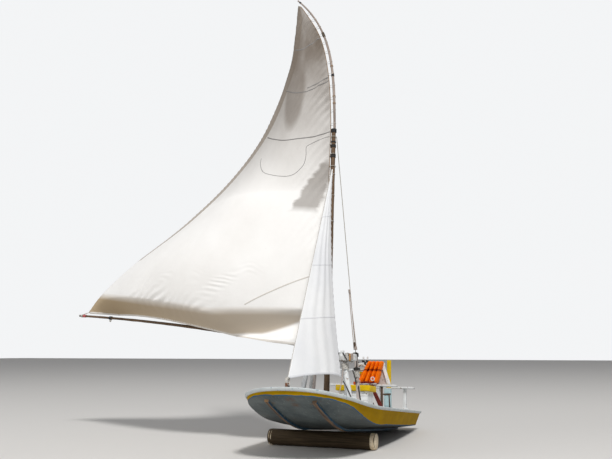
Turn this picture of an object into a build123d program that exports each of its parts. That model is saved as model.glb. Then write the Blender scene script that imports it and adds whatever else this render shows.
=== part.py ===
"""Plank-built beach sailing boat, standing bow-up on a log roller, with its sail set.

The boat is modelled in its own hull frame and then set on the ground:
+X runs forward, +Y to port, +Z up, and zero height is the deck edge amidships.
The rig has a frame of its own: +X out along the boom, +Y into the belly of the
mainsail, +Z up the mast. All sizes are millimetres.
"""
import os
from math import radians, sin, tan

from build123d import *

os.makedirs("parts", exist_ok=True)

# Stance on the ground, which is Z = 0 below the middle of the whole outline
HULL_X = 802.0
HULL_Y = 2263.0
HULL_Z = 645.35
BOW_UP = 5.8
STANDING = Location((HULL_X, HULL_Y, HULL_Z), (0, -BOW_UP, 0))
LOG_DIAMETER = 253.7
LOG_LENGTH = 1750.0
LOG_X = -205.0
LOG_Y = -130.0

# Hull plan at zero height, from the bow corner round to the stern corner
BOW_TIP = 1516.0
BOW_CORNER = (1489.0, 287.0)
QUARTER = (965.0, 815.0)
SHOULDER = (-435.0, 954.0)
STERN_CORNER = (-3153.0, 806.0)
TOPSIDE_FLARE = 18.9
PLAN_UP = 260.0
PLAN_DOWN = 480.0

# Heights over the hull's length, as formulas of the station
STATION_FORE = 1620.0
STATION_AFT = -3270.0
STATION_COUNT = 13
FORE_HALF_WIDTH = 520.0
SECTION_HALF_WIDTH = 1020.0
FORE_ROUNDING = 900.0
SHEER_RISE = 146.0
BOTTOM_DEPTH = 347.0
RAMP_RISE = 462.0
RAMP_POWER = 1.617
ROCKER_START = -800.0
ROCKER_RISE = 41.0
DECK_CROWN = 45.0
CROWN_HALF_WIDTH = 954.0
BOTTOM_RISE = 86.0
RISE_HALF_WIDTH = 820.0
DECK_THICKNESS = 22.0
RAIL_OUT = 18.0
RAIL_ABOVE = 8.0
RAIL_HEIGHT = 46.0

# Runners under the bottom
RUNNER_Y = 350.0
RUNNER_WIDTH = 62.0
RUNNER_DEPTH = 34.0
RUNNER_FORE = 1395.0
RUNNER_AFT = -3120.0

# Mast, which turns in the step and the bench
MAST_X = -56.0
MAST_FOOT_RADIUS = 48.0
MAST_HEAD_RADIUS = 38.0
MAST_FOOT_Z = 60.5
MAST_HEAD_Z = 4620.0
MAST_HOLE = 108.0
BOOM_SWING = 82.64
RIG = Location((MAST_X, 0, 0), (0, 0, BOOM_SWING - 180))
SCARF_FOOT_Z = 4060.0
SCARF_OFFSET = 7.0

# Topmast: a straight scarfed foot, then a bend that tightens towards the tip
TOPMAST_FOOT_Z = 4085.0
TOPMAST_BEND_Z = 4600.0
TOPMAST_TIP_Z = 7410.0
TOPMAST_SET = -16.0
TOPMAST_REACH = 850.0
TOPMAST_LEAN = 0.12
TOPMAST_BEND_POWER = 3.4
TOPMAST_RADII = (22.0, 25.0, 14.0)
TOPMAST_ROWS = 14

# Boom
BOOM_INNER = (62.0, 856.0)
BOOM_MIDDLE = (3000.0, 1330.0)
BOOM_OUTER = (5542.0, 1603.0)
BOOM_RADII = (31.0, 30.5, 29.5, 28.0, 26.0, 23.5, 21.0)

# Mainsail rows from foot to head: luff reach, luff height, leech reach,
# leech height, depth of the belly
SAIL_ROWS = (
    (76, 900, 5320, 1650, 560),
    (70, 1500, 4942, 2053, 720),
    (68, 2150, 4200, 2580, 740),
    (66, 3000, 2970, 3264, 600),
    (65, 3900, 2008, 4005, 400),
    (66, 4850, 1305, 4871, 230),
    (145, 5740, 925, 5930, 90),
    (335, 6500, 845, 6606, 40),
    (700, 7160, 826, 7200, 12),
)
SAIL_THICKNESS = 4.0

# Jib: tack at the bow, head on the mast, clew to port of the mast
JIB_TACK = (1521.0, 0.0, 300.0)
JIB_HEAD = (10.0, 20.0, 3900.0)
JIB_CLEW = (166.0, 310.0, 424.0)
JIB_BELLY = 90.0
JIB_HOLLOW = 150.0
JIB_ROWS = (0.0, 0.25, 0.5, 0.75, 0.985)
JIB_THICKNESS = 4.0

# Mast bench
BENCH_TOP = 788.0
BENCH_THICK = 98.0
BENCH_LENGTH = 920.0
BENCH_WIDTH = 220.0

# Deck box
BOX_X = -1290.0
BOX_Y = 95.0
BOX_LENGTH = 340.0
BOX_WIDTH = 510.0
BOX_HEIGHT = 233.0
BOX_WALL = 18.0
LID_GAP = 0.5
LID_OVERHANG = 45.0
LID_HEIGHT = 96.0
HINGE_OUT = 9.0
HINGE_DOWN = 9.0
HINGE_RADIUS = 6.0
HINGE_LENGTH = 400.0

# Stern bench, with the vest rack on it and the vests in front of the rack
STERN_BENCH_TOP = 434.0
RACK_X = -2000.0
RACK_POST_FOOT_Y = 497.0
RACK_POST_HEAD_Y = 383.0
RACK_INNER_Y = -115.0
RACK_RAIL_Y = 134.0
RACK_RAIL_LENGTH = 554.0
VEST_COUNT = 4
VEST_X = -1854.0
VEST_FOOT_Y = 30.0
VEST_FOOT_PITCH = 85.0
VEST_HEAD_Y = 190.0
VEST_HEAD_PITCH = 70.0
VEST_DEPTH = 230.0
VEST_WIDTH = 67.0
VEST_LOW = 440.0
VEST_HIGH = 845.0
FIRST_VEST_FOOT = (3.0, 120.0)

# Towing eye
EYE_X = 1515.0
EYE_RISE = 50.0

# Standing rope to port
STAY_TOP_Z = 4470.0
STAY_FOOT = (-455.0, 336.0, 852.0)
STAY_RADIUS = 6.0

pieces = {}


def keep(name, block, place=STANDING):
    """Set a finished piece in its place and write it under its own name."""
    shape = block.part.moved(place)
    shape.label = name
    pieces[name] = shape
    export_step(shape, f"parts/{name}.step")


def fore_share(x):
    """How far a station lies along the raised fore part, from 0 to 1."""
    return max(x, 0) / STATION_FORE


def deck_z(x, y=0.0):
    """Height of the deck's top at a place."""
    middle = DECK_CROWN + SHEER_RISE * fore_share(x) ** 2
    return middle - DECK_CROWN * (y / CROWN_HALF_WIDTH) ** 2


def bottom_z(x, y=0.0):
    """Height of the bottom's skin at a place."""
    aft = max(ROCKER_START - x, 0) / (ROCKER_START - STATION_AFT)
    middle = RAMP_RISE * fore_share(x) ** RAMP_POWER + ROCKER_RISE * aft**2 - BOTTOM_DEPTH
    return middle + BOTTOM_RISE * (y / RISE_HALF_WIDTH) ** 2


def body_block(top_shift=0.0, bottom_shift=0.0):
    """Block between a crowned top and a rounded bottom, wider than the plan."""
    step = (STATION_FORE - STATION_AFT) / (STATION_COUNT - 1)
    with BuildPart() as block:
        for number in range(STATION_COUNT):
            x = STATION_FORE - number * step
            half = FORE_HALF_WIDTH + (SECTION_HALF_WIDTH - FORE_HALF_WIDTH) * sin(
                radians(90 * min(1, (STATION_FORE - x) / FORE_ROUNDING))
            )
            top = deck_z(x) + top_shift
            top_side = deck_z(x, half) + top_shift
            low = bottom_z(x) + bottom_shift
            low_side = bottom_z(x, half) + bottom_shift
            with BuildSketch(Plane.YZ.offset(x)):
                with BuildLine():
                    ThreePointArc((-half, top_side), (0, top), (half, top_side))
                    Line((half, top_side), (half, low_side))
                    ThreePointArc((half, low_side), (0, low), (-half, low_side))
                    Line((-half, low_side), (-half, top_side))
                make_face()
        loft(ruled=True)
    return block.part


def plan_block(outset=0.0):
    """Flared block of the hull's plan, through all its height."""
    with BuildPart() as block:
        for z in (PLAN_UP, -PLAN_DOWN):
            with BuildSketch(Plane.XY.offset(z)):
                with BuildLine():
                    TangentArc(SHOULDER, STERN_CORNER, tangent=(-1, 0))
                    side = TangentArc(SHOULDER, QUARTER, tangent=(1, 0))
                    TangentArc(QUARTER, BOW_CORNER, tangent=side % 1)
                    mirror(about=Plane.XZ)
                    ThreePointArc(BOW_CORNER, (BOW_TIP, 0), (BOW_CORNER[0], -BOW_CORNER[1]))
                    Line(STERN_CORNER, (STERN_CORNER[0], -STERN_CORNER[1]))
                make_face()
                offset(amount=z * tan(radians(TOPSIDE_FLARE)) + outset, kind=Kind.INTERSECTION)
        loft(ruled=True)
    return block.part


plan = plan_block()
outer_plan = plan_block(RAIL_OUT)
whole = body_block()
below_deck = body_block(top_shift=-DECK_THICKNESS)
above_rail = body_block(RAIL_ABOVE, -RAIL_HEIGHT)
below_rail = body_block(RAIL_ABOVE - RAIL_HEIGHT, -2 * RAIL_HEIGHT)
lowered = body_block(bottom_shift=-RUNNER_DEPTH)

with BuildPart() as hull:
    add(plan)
    add(below_deck, mode=Mode.INTERSECT, clean=False)
keep("hull", hull)

with BuildPart() as deck:
    add(plan)
    add(whole, mode=Mode.INTERSECT, clean=False)
    add(hull.part, mode=Mode.SUBTRACT, clean=False)
keep("deck", deck)

with BuildPart() as rub_rail:
    add(outer_plan)
    add(above_rail, mode=Mode.INTERSECT, clean=False)
    add(below_rail, mode=Mode.SUBTRACT, clean=False)
    add(plan, mode=Mode.SUBTRACT, clean=False)
keep("rub_rail", rub_rail)

for side, name in ((1, "port"), (-1, "starboard")):
    with BuildPart() as runner:
        with BuildSketch(Plane.XY.offset(-600)):
            with Locations(((RUNNER_FORE + RUNNER_AFT) / 2, side * RUNNER_Y)):
                Rectangle(RUNNER_FORE - RUNNER_AFT, RUNNER_WIDTH)
        extrude(amount=800)
        add(lowered, mode=Mode.INTERSECT)
        add(whole, mode=Mode.SUBTRACT)
    keep(f"runner_{name}", runner)

with BuildPart() as log_roller:
    with BuildSketch(Plane.XZ.offset(-LOG_LENGTH / 2)):
        Circle(LOG_DIAMETER / 2)
    extrude(amount=LOG_LENGTH)
    chamfer(log_roller.edges().filter_by(GeomType.CIRCLE), 8)
keep("log_roller", log_roller, Location((HULL_X + LOG_X, HULL_Y + LOG_Y, LOG_DIAMETER / 2)))


def box_piece(name, x, y, z, length, width, height, edge=4.0):
    """Squared timber, placed by the middle of its underside."""
    with BuildPart(Plane((x, y, z))) as timber:
        Box(length, width, height, align=(Align.CENTER, Align.CENTER, Align.MIN))
        if edge:
            chamfer(timber.edges(), edge)
    keep(name, timber)


def leg_piece(name, foot, head, length, width, rounding=0.0, foot_width=None):
    """Leg between two points, cut level at both ends, its foot wider if asked."""
    with BuildPart() as leg:
        for (x, y, z), wide in ((foot, foot_width or width), (head, width)):
            with BuildSketch(Plane((x, y, z))):
                Rectangle(length, wide)
        loft()
        if rounding:
            fillet(leg.edges().filter_by(GeomType.LINE), rounding)
    keep(name, leg)


# Mast step and bench
with BuildPart(Plane((MAST_X, 0, deck_z(MAST_X) + 3))) as mast_step:
    Box(300, 240, 62, align=(Align.CENTER, Align.CENTER, Align.MIN))
    with Locations((0, 0, 62)):
        Hole(MAST_HOLE / 2, depth=50)
keep("mast_step", mast_step)

BENCH_UNDER = BENCH_TOP - BENCH_THICK
with BuildPart(Plane((MAST_X, 0, BENCH_UNDER))) as bench_plank:
    Box(BENCH_WIDTH, BENCH_LENGTH, BENCH_THICK, align=(Align.CENTER, Align.CENTER, Align.MIN))
    fillet(bench_plank.edges().filter_by(Axis.Z), 30)
    Hole(MAST_HOLE / 2)
keep("mast_bench_plank", bench_plank)

for side, name in ((1, "port"), (-1, "starboard")):
    leg_piece(
        f"mast_bench_post_{name}",
        (MAST_X - 60, side * 312, deck_z(MAST_X, 312) + 2),
        (MAST_X - 60, side * 250, BENCH_UNDER),
        50,
        34,
    )
    leg_piece(
        f"mast_bench_leg_{name}",
        (MAST_X + 45, side * 414, deck_z(MAST_X + 45, 414) + 4),
        (MAST_X + 45, side * 290, BENCH_UNDER),
        60,
        62,
    )

# Pole rack behind the mast
for side, name in ((1, "port"), (-1, "starboard")):
    leg_piece(
        f"rack_pole_{name}",
        (STAY_FOOT[0] - 30, side * 396, deck_z(STAY_FOOT[0], 396) + 4),
        (STAY_FOOT[0], side * STAY_FOOT[1], STAY_FOOT[2] - 2),
        56,
        56,
    )
box_piece("rack_rail", STAY_FOOT[0] - 12, 0, 562, 40, 648, 30)

# Open box amidships, with a lid hinged along its forward side
with BuildPart(Plane((BOX_X, BOX_Y, deck_z(BOX_X) + 1))) as deck_box:
    Box(BOX_LENGTH, BOX_WIDTH, BOX_HEIGHT, align=(Align.CENTER, Align.CENTER, Align.MIN))
    offset(amount=-BOX_WALL, openings=deck_box.faces().sort_by(Axis.Z)[-1])
keep("deck_box", deck_box)
with BuildPart(Plane((BOX_X, BOX_Y, deck_z(BOX_X) + 1 + BOX_HEIGHT + LID_GAP))) as box_lid:
    Box(
        BOX_LENGTH + 2 * LID_OVERHANG,
        BOX_WIDTH + 2 * LID_OVERHANG,
        LID_HEIGHT,
        align=(Align.CENTER, Align.CENTER, Align.MIN),
    )
    fillet(box_lid.edges().filter_by(Axis.Z), 20)
keep("box_lid", box_lid)

# Hinge: a pin in a leaf that is fixed to the box
hinge_x = BOX_X + BOX_LENGTH / 2
hinge_z = deck_z(BOX_X) + 1 + BOX_HEIGHT - HINGE_DOWN
with BuildPart(Plane((hinge_x, BOX_Y, hinge_z))) as box_hinge:
    Box(4, HINGE_LENGTH, 34, align=(Align.MIN, Align.CENTER, Align.MAX))
    with Locations(Location((HINGE_OUT, 0, 0), (90, 0, 0))):
        Cylinder(HINGE_RADIUS, HINGE_LENGTH)
keep("box_hinge", box_hinge)

# Vest rack on the stern bench, and vests
for name, foot_y, head_y in (
    ("port", RACK_POST_FOOT_Y, RACK_POST_HEAD_Y),
    ("inner", RACK_INNER_Y, RACK_INNER_Y),
):
    leg_piece(
        f"vest_rack_post_{name}",
        (RACK_X, foot_y, STERN_BENCH_TOP),
        (RACK_X, head_y, 760),
        56,
        56,
    )
box_piece("vest_rack_rail", RACK_X, RACK_RAIL_Y, 760, 56, RACK_RAIL_LENGTH, 60)
box_piece("rack_board", RACK_X - 38, RACK_RAIL_Y + 7, 560, 20, RACK_RAIL_LENGTH + 14, 105, 3)
for number in range(VEST_COUNT):
    foot_y, foot_width = FIRST_VEST_FOOT if number == 0 else (VEST_FOOT_Y + number * VEST_FOOT_PITCH, VEST_WIDTH)
    leg_piece(
        f"life_vest_{number + 1}",
        (VEST_X, foot_y, VEST_LOW),
        (VEST_X, VEST_HEAD_Y + number * VEST_HEAD_PITCH, VEST_HIGH),
        VEST_DEPTH,
        VEST_WIDTH,
        rounding=16,
        foot_width=foot_width,
    )

# Stern benches
for name, x, width, top, half, foot, leg in (
    ("stern_bench", RACK_X, 240, STERN_BENCH_TOP, 620, 340, 40),
    ("steering_bench", -2780, 230, 440, 760, 600, 56),
):
    box_piece(f"{name}_plank", x, 0, top - 32, width, 2 * half, 32, 5)
    for side, hand in ((1, "port"), (-1, "starboard")):
        leg_piece(
            f"{name}_leg_{hand}",
            (x, side * foot, deck_z(x, foot) + 3),
            (x, side * foot, top - 32),
            90,
            leg,
        )

leg_piece("leaning_plank", (-1865, 386, deck_z(-1865, 386) + 5), (-1865, 198, 422), 26, 70)
box_piece("locker", -2490, 343, deck_z(-2490, 343) + 2, 120, 120, 355)
leg_piece("yellow_post", (-2600, 335, deck_z(-2600, 335) + 2), (-2600, 335, 921), 40, 78)

# Rig, in its own frame
with BuildPart() as lower_mast:
    for z, radius in ((MAST_FOOT_Z, MAST_FOOT_RADIUS), (MAST_HEAD_Z, MAST_HEAD_RADIUS)):
        with BuildSketch(Plane.XY.offset(z)):
            Circle(radius)
    loft()
    with BuildSketch(Plane.XY.offset(SCARF_FOOT_Z)):
        with Locations((SCARF_OFFSET - 200, 0)):
            Rectangle(400, 400)
    extrude(amount=1000, mode=Mode.SUBTRACT)
keep("lower_mast", lower_mast, STANDING * RIG)

scarf_radius, bend_radius, tip_radius = TOPMAST_RADII
topmast_rows = [(TOPMAST_SET, TOPMAST_FOOT_Z, scarf_radius)]
for number in range(TOPMAST_ROWS):
    share = number / (TOPMAST_ROWS - 1)
    bend = TOPMAST_LEAN * share + (1 - TOPMAST_LEAN) * share**TOPMAST_BEND_POWER
    swell = scarf_radius + (bend_radius - scarf_radius) * min(1, 4 * share)
    topmast_rows.append(
        (
            TOPMAST_SET + TOPMAST_REACH * bend,
            TOPMAST_BEND_Z + (TOPMAST_TIP_Z - TOPMAST_BEND_Z) * share,
            swell + (tip_radius - bend_radius) * share**2,
        )
    )
with BuildPart() as topmast:
    for x, z, radius in topmast_rows:
        with BuildSketch(Plane.XY.offset(z)):
            with Locations((x, 0)):
                Circle(radius)
    loft(ruled=True)
keep("topmast", topmast, STANDING * RIG)


def boom_point(share):
    """Place on the boom's arc, from the mast at 0 to the end at 1."""
    arc = ThreePointArc(BOOM_INNER, BOOM_MIDDLE, BOOM_OUTER)
    place = arc @ share
    run = arc % share
    return Plane(origin=(place.X, 0, place.Y), x_dir=(0, 1, 0), z_dir=(run.X, 0, run.Y))


with BuildPart() as boom:
    for number, radius in enumerate(BOOM_RADII):
        with BuildSketch(boom_point(number / (len(BOOM_RADII) - 1))):
            Circle(radius)
    loft(ruled=True)
keep("boom", boom, STANDING * RIG)

for side, name in ((1, "fore"), (-1, "aft")):
    with BuildPart(Plane((130, side * 60, 845))) as jaw:
        Box(420, 22, 90)
        fillet(jaw.edges().filter_by(Axis.Y), 30)
    keep(f"boom_jaw_{name}", jaw, STANDING * RIG)


def cloth_row(near, far, depth, thickness):
    """Curved strip of cloth between two points, bulged towards +Y."""
    near, far = Vector(near), Vector(far)
    along = (far - near).normalized()
    out = (Vector(0, 1, 0) - along * along.Y).normalized()
    span = (far - near).length
    with BuildSketch(Plane(origin=near, x_dir=along, z_dir=along.cross(out))) as row:
        with BuildLine():
            ThreePointArc((0, 0), (span / 2, depth), (span, 0))
            Line((span, 0), (span, thickness))
            ThreePointArc((span, thickness), (span / 2, depth + thickness), (0, thickness))
            Line((0, thickness), (0, 0))
        make_face()
    return row.sketch


sail_faces = [
    cloth_row((luff_x, 0, luff_z), (leech_x, 0, leech_z), belly, SAIL_THICKNESS)
    for luff_x, luff_z, leech_x, leech_z, belly in SAIL_ROWS
]
with BuildPart() as mainsail:
    add(sail_faces)
    loft()
keep("mainsail", mainsail, STANDING * RIG)

jib_faces = []
for share in JIB_ROWS:
    luff = Vector(JIB_TACK) + (Vector(JIB_HEAD) - Vector(JIB_TACK)) * share
    leech = Vector(JIB_CLEW) + (Vector(JIB_HEAD) - Vector(JIB_CLEW)) * share
    leech += (luff - leech).normalized() * JIB_HOLLOW * 4 * share * (1 - share)
    jib_faces.append(cloth_row(luff, leech, JIB_BELLY * (1 - share) + 2, JIB_THICKNESS))
with BuildPart() as jib:
    add(jib_faces)
    loft()
keep("jib", jib)

# Stay and its collar
stay_top = Vector(MAST_X - 43, 43, STAY_TOP_Z)
stay_foot = Vector(*STAY_FOOT)
with BuildPart() as stay_port:
    with BuildSketch(Plane(origin=stay_foot, z_dir=stay_top - stay_foot)):
        Circle(STAY_RADIUS)
    extrude(amount=(stay_top - stay_foot).length)
keep("stay_port", stay_port)

for name, z, ring in (("stay_collar", STAY_TOP_Z, 49), ("jib_head_ring", 3930, 50.5)):
    with BuildPart(Plane((MAST_X, 0, z))) as collar:
        Torus(ring, 5)
    keep(name, collar)

# Towing eye at the bow
with BuildPart(Plane((EYE_X, 0, deck_z(EYE_X) + 10))) as bow_eye:
    Box(90, 26, 64, align=(Align.CENTER, Align.CENTER, Align.MIN))
    with BuildSketch(Plane.XZ):
        with Locations((EYE_X, deck_z(EYE_X) + EYE_RISE)):
            Circle(12)
    extrude(amount=20, both=True, mode=Mode.SUBTRACT)
keep("bow_eye", bow_eye)
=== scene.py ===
"""Dressed model of the beach sailing boat, in metres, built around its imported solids.

The boat keeps the part's own frames: the hull frame (+X forward, +Y to port,
zero height at the deck edge amidships) set on the ground by STANCE, and the rig
frame (+X out along the boom, +Y into the sail's belly, +Z up the mast).
"""
import math

import bmesh
import bpy
from mathutils import Matrix, Vector, noise


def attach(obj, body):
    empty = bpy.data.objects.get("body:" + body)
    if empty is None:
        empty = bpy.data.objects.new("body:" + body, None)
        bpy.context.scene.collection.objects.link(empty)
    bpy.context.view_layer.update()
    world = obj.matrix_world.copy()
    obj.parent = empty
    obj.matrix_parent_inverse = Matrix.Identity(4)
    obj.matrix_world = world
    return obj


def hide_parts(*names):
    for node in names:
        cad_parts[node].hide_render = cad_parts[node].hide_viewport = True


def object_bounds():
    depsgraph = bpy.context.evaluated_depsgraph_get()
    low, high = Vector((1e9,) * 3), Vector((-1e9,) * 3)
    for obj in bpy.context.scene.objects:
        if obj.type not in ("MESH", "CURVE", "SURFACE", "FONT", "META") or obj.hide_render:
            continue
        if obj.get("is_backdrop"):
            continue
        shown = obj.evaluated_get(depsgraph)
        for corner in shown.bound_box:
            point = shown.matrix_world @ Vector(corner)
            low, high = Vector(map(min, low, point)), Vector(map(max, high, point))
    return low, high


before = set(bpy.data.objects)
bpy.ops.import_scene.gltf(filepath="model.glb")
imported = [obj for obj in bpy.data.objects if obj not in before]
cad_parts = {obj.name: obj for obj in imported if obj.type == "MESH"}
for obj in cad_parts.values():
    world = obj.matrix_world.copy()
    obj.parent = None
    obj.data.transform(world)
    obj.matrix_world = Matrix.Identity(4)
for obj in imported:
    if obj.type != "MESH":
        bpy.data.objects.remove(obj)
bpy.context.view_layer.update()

# Stance and rig, as in the part
HULL_PLACE = (0.802, 2.263, 0.64535)
BOW_UP = math.radians(5.8)
MAST_X = -0.056
BOOM_SWING = math.radians(82.64)
STANCE = Matrix.Translation(HULL_PLACE) @ Matrix.Rotation(-BOW_UP, 4, "Y")
RIG = STANCE @ Matrix.Translation((MAST_X, 0, 0)) @ Matrix.Rotation(BOOM_SWING - math.pi, 4, "Z")
PLACES = {"boat": STANCE, "lid": STANCE, "rig": RIG}
SIDES = ((1, "port"), (-1, "starboard"))
FORWARD = (1, 0, 0)
UP = Vector((0, 0, 1))

# Hull form, as in the part
BOW_TIP = (1.516, 0.0)
BOW_CORNER = (1.489, 0.287)
QUARTER = (0.965, 0.815)
SHOULDER = (-0.435, 0.954)
STERN_CORNER = (-3.153, 0.806)
FLARE = math.tan(math.radians(18.9))
STATION_FORE = 1.62
STATION_AFT = -3.27
SHEER_RISE = 0.146
BOTTOM_DEPTH = 0.347
RAMP_RISE = 0.462
RAMP_POWER = 1.617
ROCKER_START = -0.8
ROCKER_RISE = 0.041
DECK_CROWN = 0.045
CROWN_HALF_WIDTH = 0.954
BOTTOM_RISE = 0.086
RISE_HALF_WIDTH = 0.82
RUNNER_Y = 0.35
RUNNER_WIDTH = 0.062
RUNNER_DEPTH = 0.034
RUNNER_ENDS = (1.395, -3.12)
LOG_RADIUS = 0.12685
LOG_MIDDLE = (HULL_PLACE[0] - 0.205, HULL_PLACE[1] - 0.13, LOG_RADIUS)
LOG_LENGTH = 1.75

# Camera, from the photo's horizon and the boat's outline
PHOTO_WIDTH = 612
FOCAL_PIXELS = 670.883
HORIZON_PIXELS = 122.5
SENSOR_WIDTH = 36
CAMERA_IN_HULL = (9.999, 3.57, -0.203)
CAMERA_YAW = math.radians(21.272)
CAMERA_PITCH = math.atan(HORIZON_PIXELS / FOCAL_PIXELS)


def fore_share(x):
    """How far a station lies along the raised fore part."""
    return max(x, 0) / STATION_FORE


def deck_z(x, y=0.0):
    """Height of the deck's top."""
    middle = DECK_CROWN + SHEER_RISE * fore_share(x) ** 2
    return middle - DECK_CROWN * (y / CROWN_HALF_WIDTH) ** 2


def bottom_z(x, y=0.0):
    """Height of the bottom's skin."""
    aft = max(ROCKER_START - x, 0) / (ROCKER_START - STATION_AFT)
    middle = RAMP_RISE * fore_share(x) ** RAMP_POWER + ROCKER_RISE * aft**2 - BOTTOM_DEPTH
    return middle + BOTTOM_RISE * (y / RISE_HALF_WIDTH) ** 2


def under_deck(x, y):
    """Height where the topsides end, just below the deck's top."""
    return deck_z(x, y) - 0.004


def on_deck(x, y, lift=0.0):
    """Place on the deck's top, or a little above it."""
    return Vector((x, y, deck_z(x, y) + lift))


def by_mast(x, y, z):
    """Place in the hull frame, measured along the hull from the mast."""
    return (MAST_X + x, y, z)


class Finish:
    """Node helpers for one material."""

    def __init__(self, name, roughness=0.6, specular=0.3):
        self.material = bpy.data.materials.new(name)
        self.material.use_nodes = True
        self.nodes = self.material.node_tree.nodes
        self.links = self.material.node_tree.links
        self.shader = self.nodes["Principled BSDF"]
        self.shader.inputs["Roughness"].default_value = roughness
        self.shader.inputs["Specular IOR Level"].default_value = specular
        self.place = self.nodes.new("ShaderNodeTexCoord")

    def feed(self, value, socket):
        """Link an output, or set a plain value."""
        if isinstance(value, bpy.types.NodeSocket):
            self.links.new(value, socket)
        elif isinstance(value, (int, float)):
            socket.default_value = value
        else:
            socket.default_value = (*value, 1)

    def mapped(self, scale=(1, 1, 1), source="Object"):
        """Coordinates stretched by a scale."""
        node = self.nodes.new("ShaderNodeMapping")
        node.inputs["Scale"].default_value = scale
        self.links.new(self.place.outputs[source], node.inputs["Vector"])
        return node.outputs["Vector"]

    def noise(self, vector, scale, detail=4.0, roughness=0.55, distortion=0.0):
        """Noise between 0 and 1."""
        node = self.nodes.new("ShaderNodeTexNoise")
        node.inputs["Scale"].default_value = scale
        node.inputs["Detail"].default_value = detail
        node.inputs["Roughness"].default_value = roughness
        node.inputs["Distortion"].default_value = distortion
        self.links.new(vector, node.inputs["Vector"])
        return node.outputs["Fac"]

    def ramp(self, fac, low, high, top=1.0, bottom=0.0):
        """Grey that goes from a bottom value at low to a top value at high."""
        node = self.nodes.new("ShaderNodeValToRGB")
        for element, place, grey in zip(node.color_ramp.elements, (low, high), (bottom, top)):
            element.position = place
            element.color = (grey, grey, grey, 1)
        self.links.new(fac, node.inputs["Fac"])
        return node.outputs["Color"]

    def mix(self, fac, first, second):
        """Two colours mixed; each is an output or a plain colour."""
        node = self.nodes.new("ShaderNodeMix")
        node.data_type = "RGBA"
        self.feed(fac, node.inputs[0])
        self.feed(first, node.inputs[6])
        self.feed(second, node.inputs[7])
        return node.outputs[2]

    def math(self, operation, first, second=0.0, clamp=False):
        """Arithmetic on two values; each is an output or a number."""
        node = self.nodes.new("ShaderNodeMath")
        node.operation = operation
        node.use_clamp = clamp
        self.feed(first, node.inputs[0])
        self.feed(second, node.inputs[1])
        return node.outputs[0]

    def plus(self, first, second):
        """Sum of two values."""
        return self.math("ADD", first, second)

    def minus(self, first, second, clamp=False):
        """First value less the second."""
        return self.math("SUBTRACT", first, second, clamp)

    def times(self, first, second, clamp=False):
        """Product of two values."""
        return self.math("MULTIPLY", first, second, clamp)

    def over(self, first, second, clamp=False):
        """First value divided by the second."""
        return self.math("DIVIDE", first, second, clamp)

    def axis(self, vector, index):
        """One coordinate of a vector."""
        node = self.nodes.new("ShaderNodeSeparateXYZ")
        self.links.new(vector, node.inputs[0])
        return node.outputs[index]

    def band(self, value, low, high, soft):
        """1 between two values, fading over a soft edge."""
        up = self.over(self.minus(value, low), soft, clamp=True)
        down = self.over(self.minus(high, value), soft, clamp=True)
        return self.times(up, down)

    def oval(self, across, height, middle, half, edge):
        """1 inside an oval, fading at its edge."""
        squares = []
        for value, centre, reach in zip((across, height), middle, half):
            share = self.over(self.minus(value, centre), reach)
            squares.append(self.math("POWER", self.math("ABSOLUTE", share), 2))
        return self.times(self.minus(1.0, self.plus(*squares)), edge / 2, clamp=True)

    def colour(self, value):
        """Set the base colour."""
        self.feed(value, self.shader.inputs["Base Color"])

    def bump(self, height, distance=0.002):
        """Relief from a height, chained after any relief set before."""
        node = self.nodes.new("ShaderNodeBump")
        node.inputs["Distance"].default_value = distance
        node.inputs["Strength"].default_value = 1.0
        self.links.new(height, node.inputs["Height"])
        before = self.shader.inputs["Normal"]
        if before.is_linked:
            self.links.new(before.links[0].from_socket, node.inputs["Normal"])
        self.links.new(node.outputs["Normal"], before)


def darker(tone, share):
    """A colour with less light."""
    return [c * share for c in tone]


def painted(name, paint, under=(0.33, 0.26, 0.2), wear=0.62):
    """Old brushed paint on wood: thin spots, chips down to the wood and grime."""
    m = Finish(name, roughness=0.55, specular=0.14)
    spots = m.noise(m.mapped(), 14, 8, 0.65)
    chips = m.ramp(spots, wear, wear + 0.03)
    clouds = m.noise(m.mapped(), 5, 3)
    tone = m.mix(m.ramp(clouds, 0.3, 0.75), paint, darker(paint, 0.82))
    streaks = m.noise(m.mapped((60, 2.5, 1), "UV"), 1, 5)
    grimy = m.mix(m.ramp(streaks, 0.55, 0.85, 0.55), tone, (0.42, 0.38, 0.32))
    m.colour(m.mix(chips, grimy, under))
    m.feed(m.ramp(spots, 0.3, 0.8, 0.75, 0.45), m.shader.inputs["Roughness"])
    m.bump(m.noise(m.mapped((40, 3, 1), "UV"), 4, 5), 0.0012)
    m.bump(chips, -0.0009)
    return m.material


def bare_wood(name, pale, dark, knots=True):
    """Weathered pole or timber with long grain, checks and knots."""
    m = Finish(name, roughness=0.78, specular=0.2)
    fibre = m.noise(m.mapped((38, 1.6, 1), "UV"), 1.5, 8, 0.62, 0.4)
    wide = m.noise(m.mapped((7, 0.8, 1), "UV"), 1.2, 3)
    base = m.mix(m.ramp(fibre, 0.35, 0.68), dark, pale)
    base = m.mix(m.ramp(wide, 0.42, 0.7, 0.75), base, darker(dark, 0.55))
    if knots:
        dots = m.noise(m.mapped((9, 2.2, 1), "UV"), 1.0, 1)
        base = m.mix(m.ramp(dots, 0.71, 0.75, 0.85), base, darker(dark, 0.3))
    m.colour(base)
    checks = m.ramp(m.noise(m.mapped((55, 0.9, 1), "UV"), 1.1, 4), 0.36, 0.42)
    m.bump(fibre, 0.0015)
    m.bump(checks, 0.0022)
    return m.material


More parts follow.
